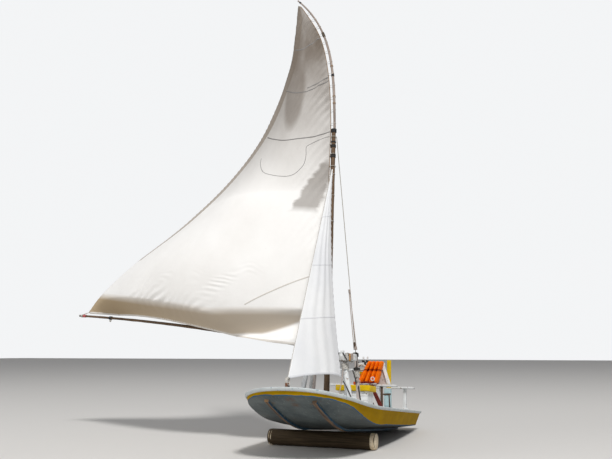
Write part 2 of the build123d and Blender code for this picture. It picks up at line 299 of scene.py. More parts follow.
def rope_material(name, pale, dark, turns=90.0):
    """Laid rope: slanting strands round its length."""
    m = Finish(name, roughness=0.85, specular=0.15)
    wave = m.nodes.new("ShaderNodeTexWave")
    wave.wave_type = "BANDS"
    wave.bands_direction = "DIAGONAL"
    wave.inputs["Scale"].default_value = turns
    wave.inputs["Distortion"].default_value = 0.6
    m.links.new(m.mapped(source="UV"), wave.inputs["Vector"])
    fuzz = m.noise(m.mapped(), 220, 4)
    tone = m.mix(m.ramp(wave.outputs["Fac"], 0.2, 0.7), dark, pale)
    m.colour(m.mix(m.ramp(fuzz, 0.45, 0.8, 0.5), tone, dark))
    m.bump(wave.outputs["Fac"], 0.0012)
    return m.material


def hull_bottom_material():
    """Scraped grey-blue bottom paint with stains and rust runs, darkened low down by painted shade."""
    m = Finish("hull_bottom", roughness=0.6, specular=0.25)
    position = m.mapped()
    clouds = m.noise(position, 3.2, 6, 0.6)
    tone = m.mix(m.ramp(clouds, 0.3, 0.7), (0.055, 0.072, 0.078), (0.125, 0.145, 0.145))
    scrape = m.noise(m.mapped((1.2, 14, 14)), 2.2, 7, 0.7, 0.3)
    tone = m.mix(m.ramp(scrape, 0.56, 0.7, 0.6), tone, (0.24, 0.26, 0.25))
    stain = m.noise(m.mapped((2.5, 9, 9)), 1.4, 6, 0.6)
    tone = m.mix(m.ramp(stain, 0.62, 0.78, 0.8), tone, (0.16, 0.1, 0.06))
    for place, reach, amount in (((1.43, 0.02, 0.07), 0.1, 0.8), ((1.28, 0.04, -0.01), 0.09, 0.6)):
        away = m.nodes.new("ShaderNodeVectorMath")
        away.operation = "DISTANCE"
        m.links.new(position, away.inputs[0])
        away.inputs[1].default_value = STANCE @ Vector(place)
        near = m.minus(1.0, m.over(away.outputs["Value"], reach), clamp=True)
        ragged = m.times(near, m.ramp(m.noise(position, 24, 5), 0.35, 0.6, 1.6))
        tone = m.mix(m.times(ragged, amount, clamp=True), tone, (0.14, 0.06, 0.02))
    # Painted shade: the bottom goes nearly black towards its lowest part
    height = m.plus(m.axis(position, 2), m.times(m.noise(position, 4, 5), 0.1))
    painted_low_shade = m.over(m.minus(0.62, height), 0.27, clamp=True)
    m.colour(m.mix(m.times(painted_low_shade, 0.94), tone, (0.008, 0.009, 0.007)))
    m.bump(m.noise(m.mapped((2, 40, 40)), 3, 6), 0.0016)
    return m.material


def topside_material():
    """Mustard paint on the topside plank, with a thin blue edge along the chine."""
    m = Finish("topside", roughness=0.7, specular=0.04)
    clouds = m.noise(m.mapped(), 4, 5, 0.6)
    tone = m.mix(m.ramp(clouds, 0.3, 0.72), (0.42, 0.25, 0.0015), (0.32, 0.18, 0.0015))
    runs = m.noise(m.mapped((16, 1.2, 1), "UV"), 1.6, 6, 0.6)
    tone = m.mix(m.ramp(runs, 0.56, 0.8, 0.6), tone, (0.2, 0.115, 0.008))
    chips = m.ramp(m.noise(m.mapped(), 17, 8, 0.7), 0.66, 0.69)
    tone = m.mix(chips, tone, (0.2, 0.19, 0.17))
    low = m.axis(m.mapped(source="UV"), 1)
    edge = m.plus(low, m.times(m.noise(m.mapped(), 9, 4), 0.03))
    m.colour(m.mix(m.band(edge, -0.05, 0.03, 0.006), tone, (0.02, 0.1, 0.2)))
    m.bump(clouds, 0.002)
    m.bump(chips, -0.0008)
    return m.material


def painted_sail_shade(m, uv, colour, upper, under):
    """Painted shade on the mainsail, placed by its UVs, which are metres in the rig's plane."""
    height, across = m.axis(uv, 1), m.axis(uv, 0)

    # Painted shade: darker towards the head, with two soft ovals
    rise = m.over(m.minus(height, 3.45), 2.9, clamp=True)
    wide = m.noise(m.mapped((1.6, 0.7, 1), "UV"), 1.3, 4)
    colour = m.mix(m.times(m.math("POWER", rise, 0.66), m.ramp(wide, 0.3, 0.62, 1.0, 0.78)), colour, upper)
    tongue = m.oval(across, height, (0.72, 5.35), (0.24, 0.8), 4.0)
    colour = m.mix(m.times(tongue, 0.58), colour, upper)
    head = m.oval(across, height, (0.80, 6.35), (0.18, 0.55), 3.0)
    colour = m.mix(m.times(head, 0.6), colour, upper)

    # A ragged patch of painted shade that slants down beside the luff
    slant = m.plus(m.times(across, 0.954), m.times(height, 0.3))
    slant = m.plus(slant, m.times(m.noise(m.mapped((3, 7, 1), "UV"), 1.2, 3), 0.16))
    down = m.minus(4.1, height)
    aside = m.math("ABSOLUTE", m.minus(slant, m.plus(1.33, m.times(down, 0.06))))
    inside = m.over(m.minus(m.plus(0.11, m.times(down, 0.1)), aside), 0.05, clamp=True)
    beside = m.times(m.band(height, 3.08, 4.08, 0.12), inside)
    colour = m.mix(m.times(beside, 0.6), colour, upper)

    # Painted shade under the roll along the foot, brown between its crest and the fold below it
    crest = m.math("MAXIMUM", 1.52, m.plus(1.21, m.times(across, 0.165)))
    inner = m.math("POWER", m.minus(1.1, across, clamp=True), 1.35)
    valley = m.plus(1.09, m.times(inner, 0.39))
    below = m.over(m.minus(crest, height), 0.14, clamp=True)
    above = m.over(m.minus(height, valley), 0.04, clamp=True)
    shaded = m.times(m.times(below, above), m.plus(0.6, m.times(across, 0.09)), clamp=True)
    return m.mix(shaded, colour, under)


def sail_material(name, tone, shade, upper=None, under=None):
    """Woven sailcloth with soft stains, and the mainsail's painted shade if its tones are given."""
    m = Finish(name, roughness=0.85, specular=0.1)
    uv = m.mapped(source="UV")
    colour = m.mix(m.ramp(m.noise(m.mapped(), 0.9, 5, 0.6), 0.35, 0.72), tone, shade)
    if upper:
        colour = painted_sail_shade(m, uv, colour, upper, under)
    spots = m.noise(m.mapped(), 22, 8, 0.7)
    m.colour(m.mix(m.ramp(spots, 0.66, 0.74, 0.35), colour, darker(shade, 0.7)))
    weave = m.nodes.new("ShaderNodeTexWave")
    weave.inputs["Scale"].default_value = 260
    weave.inputs["Distortion"].default_value = 1.5
    m.links.new(uv, weave.inputs["Vector"])
    m.bump(weave.outputs["Fac"], 0.00025)
    m.bump(m.noise(m.mapped(), 9, 6, 0.62), 0.003)
    return m.material


def cloth_material(name, tone, shade):
    """Nylon cloth over foam."""
    m = Finish(name, roughness=0.7, specular=0.12)
    m.colour(m.mix(m.ramp(m.noise(m.mapped(), 9, 5), 0.35, 0.7), tone, shade))
    m.bump(m.noise(m.mapped(), 45, 6), 0.0014)
    return m.material


def plain_material(name, tone, roughness=0.5, metallic=0.0):
    """Small hard goods with a little wear."""
    m = Finish(name, roughness=roughness)
    m.shader.inputs["Metallic"].default_value = metallic
    spots = m.noise(m.mapped(), 60, 6, 0.6)
    m.colour(m.mix(m.ramp(spots, 0.5, 0.85), tone, darker(tone, 0.55)))
    m.bump(spots, 0.0006)
    return m.material


def log_end_material():
    """Sawn end of a log: rings and grit."""
    m = Finish("log_end", roughness=0.85, specular=0.15)
    rings = m.nodes.new("ShaderNodeTexWave")
    rings.wave_type = "RINGS"
    rings.rings_direction = "Y"
    rings.inputs["Scale"].default_value = 26
    rings.inputs["Distortion"].default_value = 2.2
    rings.inputs["Detail"].default_value = 3
    centre = m.nodes.new("ShaderNodeMapping")
    centre.inputs["Location"].default_value = (-LOG_MIDDLE[0], 0, -LOG_RADIUS)
    m.links.new(m.place.outputs["Object"], centre.inputs["Vector"])
    m.links.new(centre.outputs["Vector"], rings.inputs["Vector"])
    tone = m.mix(m.ramp(rings.outputs["Fac"], 0.2, 0.8), (0.8, 0.66, 0.46), (0.95, 0.84, 0.66))
    m.colour(m.mix(m.ramp(m.noise(m.mapped(), 30, 6), 0.5, 0.75, 0.7), tone, (0.3, 0.22, 0.14)))
    m.bump(rings.outputs["Fac"], 0.001)
    return m.material


WHITE = painted("white_paint", (0.78, 0.79, 0.78))
DECK_PAINT = painted("deck_paint", (0.72, 0.75, 0.77), (0.36, 0.42, 0.46), 0.58)
# Bluish white paint on the edge moulding, darkened by painted shade
SHADED_RAIL_PAINT = painted("rail_paint_painted_shade", (0.58, 0.62, 0.62), (0.34, 0.41, 0.44), 0.6)
YELLOW = painted("yellow_paint", (0.72, 0.47, 0.002), (0.3, 0.2, 0.1), 0.66)
BLUE = painted("blue_paint", (0.03, 0.08, 0.13), (0.2, 0.17, 0.14), 0.6)
RED = painted("red_paint", (0.14, 0.022, 0.016), (0.1, 0.06, 0.04), 0.64)
TEAL = painted("teal_paint", (0.5, 0.68, 0.7), (0.3, 0.4, 0.4), 0.66)
DARK_TEAL = painted("dark_teal", (0.02, 0.12, 0.12), (0.1, 0.1, 0.1), 0.66)
GREY_WHITE = painted("grey_white", (0.5, 0.5, 0.48), (0.25, 0.2, 0.16), 0.6)
# Pinkish white paint on the rack's poles and brace, darkened by painted shade
SHADED_POLE_PAINT = painted("pole_paint_painted_shade", (0.56, 0.49, 0.45), (0.25, 0.19, 0.15), 0.6)
DARK_WOOD = bare_wood("dark_wood", (0.16, 0.1, 0.06), (0.05, 0.035, 0.025), knots=False)
TAN_WOOD = bare_wood("tan_wood", (0.62, 0.36, 0.14), (0.36, 0.18, 0.07), knots=False)
WORN_RUNNER = bare_wood("worn_runner", (0.36, 0.21, 0.1), (0.05, 0.05, 0.055))
MAST_WOOD = bare_wood("mast_wood", (0.21, 0.135, 0.078), (0.075, 0.047, 0.03))
PALE_WOOD = bare_wood("pale_wood", (0.46, 0.38, 0.33), (0.24, 0.19, 0.16))
LOG_WOOD = bare_wood("log_wood", (0.12, 0.085, 0.048), (0.045, 0.03, 0.016))
LOG_END = log_end_material()
BOTTOM = hull_bottom_material()
TOPSIDE = topside_material()
# Painted shade tones on the mainsail: grey-brown for the upper sail, brown under the foot's roll
PAINTED_SAIL_SHADE = ((0.165, 0.136, 0.11), (0.44, 0.34, 0.22))
MAIN_CLOTH = sail_material("main_cloth", (0.9, 0.885, 0.86), (0.83, 0.81, 0.78), *PAINTED_SAIL_SHADE)
# The hem is real cloth; its darker tone is painted shade, as the curled hem looks turned from the light
SHADED_HEM_CLOTH = sail_material("hem_cloth_painted_shade", (0.5, 0.45, 0.4), (0.42, 0.38, 0.33), *PAINTED_SAIL_SHADE)
JIB_CLOTH = sail_material("jib_cloth", (0.9, 0.9, 0.895), (0.78, 0.79, 0.81))
SEAM_CLOTH = sail_material("seam_cloth", (0.72, 0.69, 0.64), (0.6, 0.56, 0.51))
JIB_SEAM = sail_material("jib_seam", (0.78, 0.78, 0.79), (0.7, 0.71, 0.73))
# The seam tapes are real; their near-black colour is painted shade, as double cloth looks against the
# light, and the looped line is a painted shadow
SEAM_PAINTED_SHADE = sail_material("seam_painted_shade", (0.24, 0.23, 0.225), (0.2, 0.19, 0.18))
WHITE_ROPE = rope_material("white_rope", (0.74, 0.72, 0.67), (0.4, 0.37, 0.32))
BROWN_ROPE = rope_material("brown_rope", (0.42, 0.29, 0.18), (0.2, 0.13, 0.08))
DARK_ROPE = rope_material("dark_rope", (0.07, 0.065, 0.06), (0.02, 0.02, 0.02))
PALE_ROPE = rope_material("pale_rope", (0.62, 0.53, 0.47), (0.36, 0.29, 0.25))
GREEN_ROPE = rope_material("green_rope", (0.05, 0.14, 0.09), (0.16, 0.03, 0.03), 40.0)
ORANGE = cloth_material("orange_cloth", (1.0, 0.21, 0.0), (0.98, 0.15, 0.0))
ORANGE_DARK = cloth_material("orange_piping", (0.6, 0.06, 0.004), (0.4, 0.03, 0.004))
STRAP = cloth_material("strap_webbing", (0.2, 0.015, 0.01), (0.1, 0.01, 0.01))
ORANGE_PLASTIC = plain_material("orange_plastic", (0.75, 0.12, 0.02))
BLACK_TAPE = plain_material("black_tape", (0.02, 0.02, 0.022), 0.6)
PINK_TAPE = plain_material("pink_tape", (0.5, 0.12, 0.12), 0.6)
RUST = plain_material("rusty_steel", (0.2, 0.09, 0.05), 0.85, 0.2)
RING_WHITE = plain_material("white_plastic", (0.8, 0.79, 0.76), 0.4)


def finish_mesh(name, bm, materials, replaces=(), body="boat", place=None, smooth=True):
    """Turn a mesh built in its body's local frame into a piece that rides on the body."""
    bmesh.ops.remove_doubles(bm, verts=bm.verts, dist=1e-6)
    bmesh.ops.recalc_face_normals(bm, faces=bm.faces)
    bm.transform(place or PLACES[body])
    mesh = bpy.data.meshes.new(name)
    bm.to_mesh(mesh)
    bm.free()
    for polygon in mesh.polygons:
        polygon.use_smooth = smooth
    piece = bpy.data.objects.new(name, mesh)
    bpy.context.collection.objects.link(piece)
    for material in materials:
        mesh.materials.append(material)
    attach(piece, body)
    if replaces:
        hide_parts(*replaces)
    return piece


def uvs_from(rows, first, second):
    """UVs taken from two coordinates of each point."""
    return [[(p[first], p[second]) for p in row] for row in rows]


def add_grid(bm, rows, index=0, uvs=None, closed=False):
    """Quads between rows of points, with an optional UV for each point."""
    layer = bm.loops.layers.uv.verify()
    made = [[bm.verts.new(point) for point in row] for row in rows]
    width = len(rows[0])
    for i in range(len(rows) - 1):
        for j in range(width if closed else width - 1):
            near, far = j, (j + 1) % width
            ring = [(i, near), (i, far), (i + 1, far), (i + 1, near)]
            corners = [made[a][b] for a, b in ring]
            if len({tuple(round(c, 7) for c in v.co) for v in corners}) < 3:
                continue
            face = bm.faces.new(corners)
            face.material_index = index
            for loop, (a, b) in zip(face.loops, ring if uvs else ()):
                u, v = uvs[a][b]
                if closed and b == 0 and far == 0:
                    u += uvs[a][width - 1][0] + uvs[a][1][0] - uvs[a][0][0] * 2
                loop[layer].uv = (u, v)
    return made


def cap(bm, ring, index=0):
    """Fill a ring of points with triangles round its middle."""
    layer = bm.loops.layers.uv.verify()
    middle = bm.verts.new(sum((v.co for v in ring), Vector()) / len(ring))
    for a, b in zip(ring, ring[1:] + ring[:1]):
        face = bm.faces.new((a, b, middle))
        face.material_index = index
        for loop in face.loops:
            loop[layer].uv = (loop.vert.co.x, loop.vert.co.y)


def cap_ends(bm, made, index=0):
    """Close both ends of a grid of rings."""
    cap(bm, made[0], index)
    cap(bm, list(reversed(made[-1])), index)


def transport(points):
    """Tangents and a steady side direction along a line of points."""
    points = [Vector(p) for p in points]
    tangents = []
    for i in range(len(points)):
        low, high = max(i - 1, 0), min(i + 1, len(points) - 1)
        tangents.append((points[high] - points[low]).normalized())
    helper = UP if abs(tangents[0].z) < 0.9 else Vector(FORWARD)
    side = tangents[0].cross(helper).normalized()
    sides = []
    for tangent in tangents:
        side = (side - tangent * side.dot(tangent)).normalized()
        sides.append(side)
    return tangents, sides


def sweep(bm, points, section, index=0, scales=None, up=None, lumps=0.0, seed=0, end_index=None):
    """Sweep a closed outline along points, with UVs in metres and capped ends."""
    tangents, sides = transport(points)
    rows, uvs = [], []
    around = [0.0]
    for a, b in zip(section, section[1:] + section[:1]):
        around.append(around[-1] + math.dist(a, b))
    along = 0.0
    for i, point in enumerate(points):
        point = Vector(point)
        if i:
            along += (point - Vector(points[i - 1])).length
        side = sides[i] if up is None else tangents[i].cross(Vector(up)).normalized()
        other = side.cross(tangents[i]).normalized()
        scale = scales[i] if scales else 1.0
        row = []
        for x, y in section:
            spot = point + (side * x + other * y) * scale
            if lumps:
                swell = noise.noise(spot * 9 + Vector((seed, seed * 1.7, 0)))
                spot += (spot - point).normalized() * swell * lumps
            row.append(spot)
        rows.append(row)
        uvs.append([(around[j], along) for j in range(len(section))])
    made = add_grid(bm, rows, index, uvs, closed=True)
    cap_ends(bm, made, index if end_index is None else end_index)


def circle(radius, sides=16):
    """Round outline."""
    angles = [2 * math.pi * k / sides for k in range(sides)]
    return [(radius * math.cos(angle), radius * math.sin(angle)) for angle in angles]


def rounded_box(width, height, radius=0.006, steps=3):
    """Rectangular outline with rounded corners."""
    outline = []
    for quarter, (sx, sy) in enumerate(((1, 1), (-1, 1), (-1, -1), (1, -1))):
        for k in range(steps + 1):
            a = math.pi / 2 * (quarter + k / steps)
            x = sx * (width / 2 - radius) + radius * math.cos(a)
            y = sy * (height / 2 - radius) + radius * math.sin(a)
            outline.append((x, y))
    return outline


def spread(start, end, count):
    """Evenly spaced points between two places, both included."""
    start, end = Vector(start), Vector(end)
    return [start.lerp(end, k / (count - 1)) for k in range(count)]


def smooth_rows(rows, position):
    """Value between table rows, on a smooth curve through them."""
    last = len(rows) - 1
    index = min(int(position), last - 1)
    t = position - index
    picks = [rows[min(max(index + k, 0), last)] for k in (-1, 0, 1, 2)]
    values = []
    for a, b, c, d in zip(*picks):
        bend = (2 * a - 5 * b + 4 * c - d) * t * t + (3 * b - a - 3 * c + d) * t**3
        values.append(0.5 * (2 * b + (c - a) * t + bend))
    return values


def smooth_line(points, count):
    """Evenly numbered points on a smooth line through points."""
    return [Vector(smooth_rows(points, (len(points) - 1) * k / (count - 1))) for k in range(count)]


def timber(name, node, start, end, size, material, up=FORWARD, seed=0):
    """Squared timber between two points, edges eased and a little uneven."""
    bm = bmesh.new()
    count = max(6, int((Vector(end) - Vector(start)).length / 0.03))
    scales = [0.965] + [1.0] * (count - 2) + [0.965]
    sweep(bm, spread(start, end, count), rounded_box(*size), 0, scales, up, lumps=0.0025, seed=seed)
    return finish_mesh(name, bm, [material], [node] if node else ())


def luff_cord(name, points, radius, material, body):
    """Rope laid tight along a smooth line through points."""
    length = sum(math.dist(a, b) for a, b in zip(points, points[1:]))
    count = max(8, int(length / 0.02), 6 * len(points))
    bm = bmesh.new()
    sweep(bm, smooth_line(points, count), circle(radius, 8))
    return finish_mesh(name, bm, [material], body=body)


def add_turns(bm, centre, axis, radius, rope, turns, pitch, squash=1.0, along=None):
    """Turns of rope wound round an axis, flattened along one direction if asked."""
    axis = Vector(axis).normalized()
    first = Vector(along).normalized() if along else axis.orthogonal().normalized()
    first = (first - axis * first.dot(axis)).normalized()
    second = axis.cross(first)
    line = []
    for k in range(int(turns * 18) + 1):
        angle = 2 * math.pi * k / 18
        lift = axis * (pitch * (k / 18 - turns / 2))
        round_axis = first * math.cos(angle) * radius * squash + second * math.sin(angle) * radius
        line.append(Vector(centre) + lift + round_axis)
    sweep(bm, line, circle(rope, 6))


def rope_piece(name, material, turns=(), lines=(), body="boat"):
    """Taut lines, each a radius and its route, and tight turns, joined in one piece."""
    bm = bmesh.new()
    for radius, *route in lines:
        sweep(bm, smooth_line(route, 31), circle(radius, 7))
    for spot in turns:
        add_turns(bm, *spot)
    return finish_mesh(name, bm, [material], body=body)


# Camera
camera_data = bpy.data.cameras.new("camera")
camera_data.sensor_width = SENSOR_WIDTH
camera_data.lens = SENSOR_WIDTH * FOCAL_PIXELS / PHOTO_WIDTH
camera = bpy.data.objects.new("camera", camera_data)
bpy.context.collection.objects.link(camera)
camera.location = STANCE @ Vector(CAMERA_IN_HULL)
level = math.cos(CAMERA_PITCH)
look = Vector((-math.cos(CAMERA_YAW) * level, -math.sin(CAMERA_YAW) * level, math.sin(CAMERA_PITCH)))
camera.rotation_mode = "QUATERNION"
camera.rotation_quaternion = look.to_track_quat("-Z", "Y")
bpy.context.scene.camera = camera


# Hull
def tangent_arc(start, direction, end, count):
    """Points on the arc that leaves start along direction and ends at end."""
    start, direction, end = Vector(start), Vector(direction).normalized(), Vector(end)
    across = Vector((-direction.y, direction.x))
    chord = end - start
    radius = chord.length_squared / (2 * chord.dot(across))
    centre = start + across * radius
    first = math.atan2(start.y - centre.y, start.x - centre.x)
    turn = 2 * math.atan2(chord.dot(across), chord.dot(direction))
    points = []
    for k in range(count):
        a = first + turn * k / (count - 1)
        points.append(centre + Vector((math.cos(a), math.sin(a))) * abs(radius))
    leaving = Matrix.Rotation(turn, 2) @ direction
    return points, leaving


def port_outline():
    """Plan of the port side at zero height, from the bow tip to the stern corner."""
    side, leaving = tangent_arc(SHOULDER, (1, 0), QUARTER, 14)
    corner, _ = tangent_arc(QUARTER, leaving, BOW_CORNER, 16)
    front, _ = tangent_arc(BOW_TIP, (0, 1), BOW_CORNER, 8)
    after, _ = tangent_arc(SHOULDER, (-1, 0), STERN_CORNER, 26)
    points = front + corner[::-1][1:] + side[::-1][1:] + after[1:]
    normals = []
    for i in range(len(points)):
        low, high = max(i - 1, 0), min(i + 1, len(points) - 1)
        run = points[high] - points[low]
        normals.append(Vector((-run.y, run.x)).normalized() * -1)
    normals[0] = Vector((1, 0))
    return [(p, n if n.y >= -0.01 else -n) for p, n in zip(points, normals)]


OUTLINE = port_outline()
LAST = len(OUTLINE) - 1


def side_point(number, height, out=0.0, side=1):
    """Point on the flared side at a height, or proud of it; the last is the stern corner."""
    point, normal = OUTLINE[number]
    shift = height * FLARE + out
    if number == LAST:
        x = point.x - shift
        y = (point.dot(normal) + shift - x * normal.x) / normal.y
    else:
        x, y = point + normal * shift
    return Vector((x, side * y, height))


def solved(number, surface, drop=0.0, out=0.0, side=1):
    """Point of the side where it meets the deck's or the bottom's surface."""
    height = 0.0
    for _ in range(12):
        spot = side_point(number, height, out, side)
        height = surface(spot.x, spot.y) - drop
    return side_point(number, height, out, side)


def transom_point(y, surface):
    """Point of the flared transom where it meets a surface."""
    height = 0.0
    for _ in range(12):
        height = surface(STERN_CORNER[0] - height * FLARE, y)
    return Vector((STERN_CORNER[0] - height * FLARE, y, height))


def surface_rows(surface, across=24):
    """Rows of points across the deck or the bottom, from bow to transom."""
    rows = []
    for number in range(len(OUTLINE)):
        edge = solved(number, surface)
        places = [edge.y * (1 - 2 * k / across) for k in range(across + 1)]
        if number == LAST:
            rows.append([transom_point(y, surface) for y in places])
        else:
            rows.append([Vector((edge.x, y, surface(edge.x, y))) for y in places])
    return rows


def hull_piece():
    """Bottom, topsides and transom, in one mesh with sharp chines."""
    bm = bmesh.new()
    bottom = surface_rows(bottom_z)
    add_grid(bm, bottom, 0, uvs_from(bottom, 1, 0))
    steps = 8
    for side in (1, -1):
        rows, uvs = [], []
        along = 0.0
        before = None
        for number in range(len(OUTLINE)):
            low = solved(number, bottom_z, side=side)
            high = solved(number, under_deck, side=side)
            if before is not None:
                along += (high - before).length
            before = high
            rows.append([low.lerp(high, k / steps) for k in range(steps + 1)])
            uvs.append([(along, k / steps * (high - low).length) for k in range(steps + 1)])
        add_grid(bm, rows, 1, uvs)
    keel, edge = bottom[-1], surface_rows(under_deck)[-1]
    after = [[a.lerp(b, k / steps) for a, b in zip(keel, edge)] for k in range(steps + 1)]
    add_grid(bm, after, 1, [[(p.y, p.z - keel[0].z + 0.05) for p in row] for row in after])
    piece = finish_mesh("hull_planking", bm, [BOTTOM, TOPSIDE], ["hull"])
    piece.modifiers.new("edges", "EDGE_SPLIT").split_angle = math.radians(30)


def deck_piece():
    """Crowned deck."""
    bm = bmesh.new()
    rows = surface_rows(deck_z, 30)
    add_grid(bm, rows, 0, uvs_from(rows, 1, 0))
    finish_mesh("deck_planks", bm, [DECK_PAINT], ["deck"])


RAIL_PROFILE = (
    (-0.004, 0.008), (0.008, 0.009), (0.016, 0.005), (0.019, -0.004),
    (0.019, -0.026), (0.016, -0.035), (0.008, -0.038), (-0.006, -0.038),
)


def rail_piece():
    """Rounded white moulding round the deck's edge; its profile runs out and up."""
    bm = bmesh.new()
    stations = [(n, 1) for n in range(len(OUTLINE))] + [(n, -1) for n in range(LAST, 0, -1)]
    rows = [[solved(n, deck_z, -rise, out, side) for out, rise in RAIL_PROFILE] for n, side in stations]
    rows.append(rows[0])
    uvs = [[(0.02 * j, 0.05 * i) for j in range(len(RAIL_PROFILE))] for i in range(len(rows))]
    add_grid(bm, rows, 0, uvs, closed=True)
    finish_mesh("edge_moulding", bm, [SHADED_RAIL_PAINT], ["rub_rail"])


def runner_piece(side, name, count=60, ease=0.006, sink=0.004):
    """Runner: worn face below, painted sides."""
    bm = bmesh.new()
    rows, uvs = [], []
    inner, outer = side * RUNNER_Y - RUNNER_WIDTH / 2, side * RUNNER_Y + RUNNER_WIDTH / 2
    for k in range(count):
        x = RUNNER_ENDS[0] + (RUNNER_ENDS[1] - RUNNER_ENDS[0]) * k / (count - 1)
        low_in = bottom_z(x, inner) - RUNNER_DEPTH
        low_out = bottom_z(x, outer) - RUNNER_DEPTH
        section = (
            (inner, bottom_z(x, inner) + sink), (inner, low_in + ease), (inner + ease, low_in),
            (outer - ease, low_out), (outer, low_out + ease), (outer, bottom_z(x, outer) + sink),
        )
        rows.append([Vector((x, *spot)) for spot in section])
        uvs.append([(0.03 * j, x) for j in range(len(section))])
    made = add_grid(bm, rows, 0, uvs, closed=True)
    for face in bm.faces:
        low = sum(1 for v in face.verts if v.co.z < bottom_z(v.co.x, v.co.y) - RUNNER_DEPTH + 0.003)
        face.material_index = 1 if low >= 4 else 0
    cap_ends(bm, made, 1)
    finish_mesh(
        f"runner_shape_{name}", bm, [BLUE, WORN_RUNNER], [f"runner_{name}"], smooth=False
    )


def log_piece(count=44, worn=0.075):
    """Log roller with a rough barked side, sawn ends and pale worn shoulders."""
    bm = bmesh.new()

    def along(reach):
        return (LOG_MIDDLE[0], LOG_MIDDLE[1] + reach, LOG_RADIUS)

    half = LOG_LENGTH / 2
    scales = [0.985 + 0.012 * math.sin(0.4 * k) for k in range(count)]
    scales[0] = scales[-1] = 0.94
    bark = circle(LOG_RADIUS - 0.002, 48)
    sweep(bm, spread(along(-half), along(half), count), bark, 0, scales, lumps=0.004, seed=3, end_index=1)
    scales = [0.97, 0.985, 0.985, 0.98, 0.97, 0.95, 0.91]
    for end in (-1, 1):
        pale = spread(along(end * (half - worn)), along(end * (half + 0.0005)), len(scales))
        sweep(bm, pale, circle(LOG_RADIUS - 0.001, 48), 1, scales)
    finish_mesh("log_body", bm, [LOG_WOOD, LOG_END], ["log_roller"], place=Matrix.Identity(4))


hull_piece()
deck_piece()
rail_piece()
for side, name in SIDES:
    runner_piece(side, name)
log_piece()

# Benches, racks and posts
BENCH_TOP = 0.788
BENCH_UNDER = 0.69
LEG_X = MAST_X + 0.045
POLE_FOOT_X = -0.485
RACK_X = -2.0
STERN_TOP = 0.434
STEERING_X = -2.78
STEERING_TOP = 0.44
SEAT_UNDER = 0.032
SEAT_Z = 0.418


def foot_pads():
    """Small flared blocks where legs stand on the deck."""
    bm = bmesh.new()
    for x, y in ((LEG_X, 0.414), (POLE_FOOT_X, 0.396), (STEERING_X, 0.6), (RACK_X, 0.34)):
        for side in (1, -1):
            base = on_deck(x, side * y, 0.001)
            rows = []
            for lift, grow in ((0.0, 1.0), (0.010, 0.97), (0.024, 0.72), (0.034, 0.62)):
                outline = rounded_box(1, 1, 0.12)
                rows.append([base + Vector((a * 0.15 * grow, b * 0.13 * grow, lift)) for a, b in outline])
            made = add_grid(bm, rows, 0, uvs_from(rows, 0, 1), closed=True)
            cap(bm, list(reversed(made[-1])))
    finish_mesh("leg_pads", bm, [WHITE])


def legs_and_poles(side, name):
    """Posts, legs and poles of one side."""
    for piece, node, start, end, size, material, seed in (
        ("bench_post", "mast_bench_post", on_deck(MAST_X - 0.06, side * 0.312),
         by_mast(-0.06, side * 0.25, BENCH_UNDER), (0.034, 0.05), WHITE, 0),
        ("bench_leg", "mast_bench_leg", on_deck(LEG_X, side * 0.414),
         (LEG_X, side * 0.29, BENCH_UNDER), (0.062, 0.06), WHITE, 5),
        ("pole", "rack_pole", on_deck(POLE_FOOT_X, side * 0.396),
         (-0.455, side * 0.336, 0.85), (0.052, 0.052), SHADED_POLE_PAINT, 9),
        ("stern_bench_foot", "stern_bench_leg", on_deck(RACK_X, side * 0.34),
         (RACK_X, side * 0.34, STERN_TOP - SEAT_UNDER), (0.038, 0.088), WHITE, 21),
        ("steering_bench_foot", "steering_bench_leg", on_deck(STEERING_X, side * 0.6),
         (STEERING_X, side * 0.6, STEERING_TOP - SEAT_UNDER), (0.052, 0.088), WHITE, 21),
    ):
        timber(f"{piece}_{name}", f"{node}_{name}", start, end, size, material, seed=side + seed)


for side, name in SIDES:
    legs_and_poles(side, name)
for name, foot_y, head_y in (("port", 0.497, 0.383), ("inner", -0.115, -0.115)):
    timber(
        f"vest_post_{name}", f"vest_rack_post_{name}", (RACK_X, foot_y, STERN_TOP), (RACK_X, head_y, 0.76),
        (0.052, 0.052), WHITE, seed=13 + len(name),
    )
for name, node, x, low_y, high_y, z, size in (
    ("rack_bar", "rack_rail", -0.467, -0.324, 0.324, 0.577, (0.038, 0.028)),
    ("vest_bar", "vest_rack_rail", RACK_X, -0.143, 0.411, 0.79, (0.054, 0.058)),
    ("yellow_board", "rack_board", -2.038, -0.143, 0.425, 0.6125, (0.019, 0.104)),
    ("stern_seat", "stern_bench_plank", RACK_X, -0.62, 0.62, SEAT_Z, (0.238, 0.031)),
    ("steering_seat", "steering_bench_plank", STEERING_X, -0.76, 0.76, 0.424, (0.228, 0.031)),
):
    paint, slot = (YELLOW, "yellow_paint") if name == "yellow_board" else (WHITE, "white_paint")
    timber(name, node, (x, low_y, z), (x, high_y, z), size, paint, UP)
timber(
    "yellow_stick", "yellow_post", on_deck(-2.6, 0.335), (-2.6, 0.335, 0.921), (0.076, 0.038),
    YELLOW, seed=31,
)
timber(
    "red_strut", "leaning_plank", on_deck(-1.865, 0.386), (-1.865, 0.198, 0.422), (0.068, 0.025),
    RED, seed=33,
)
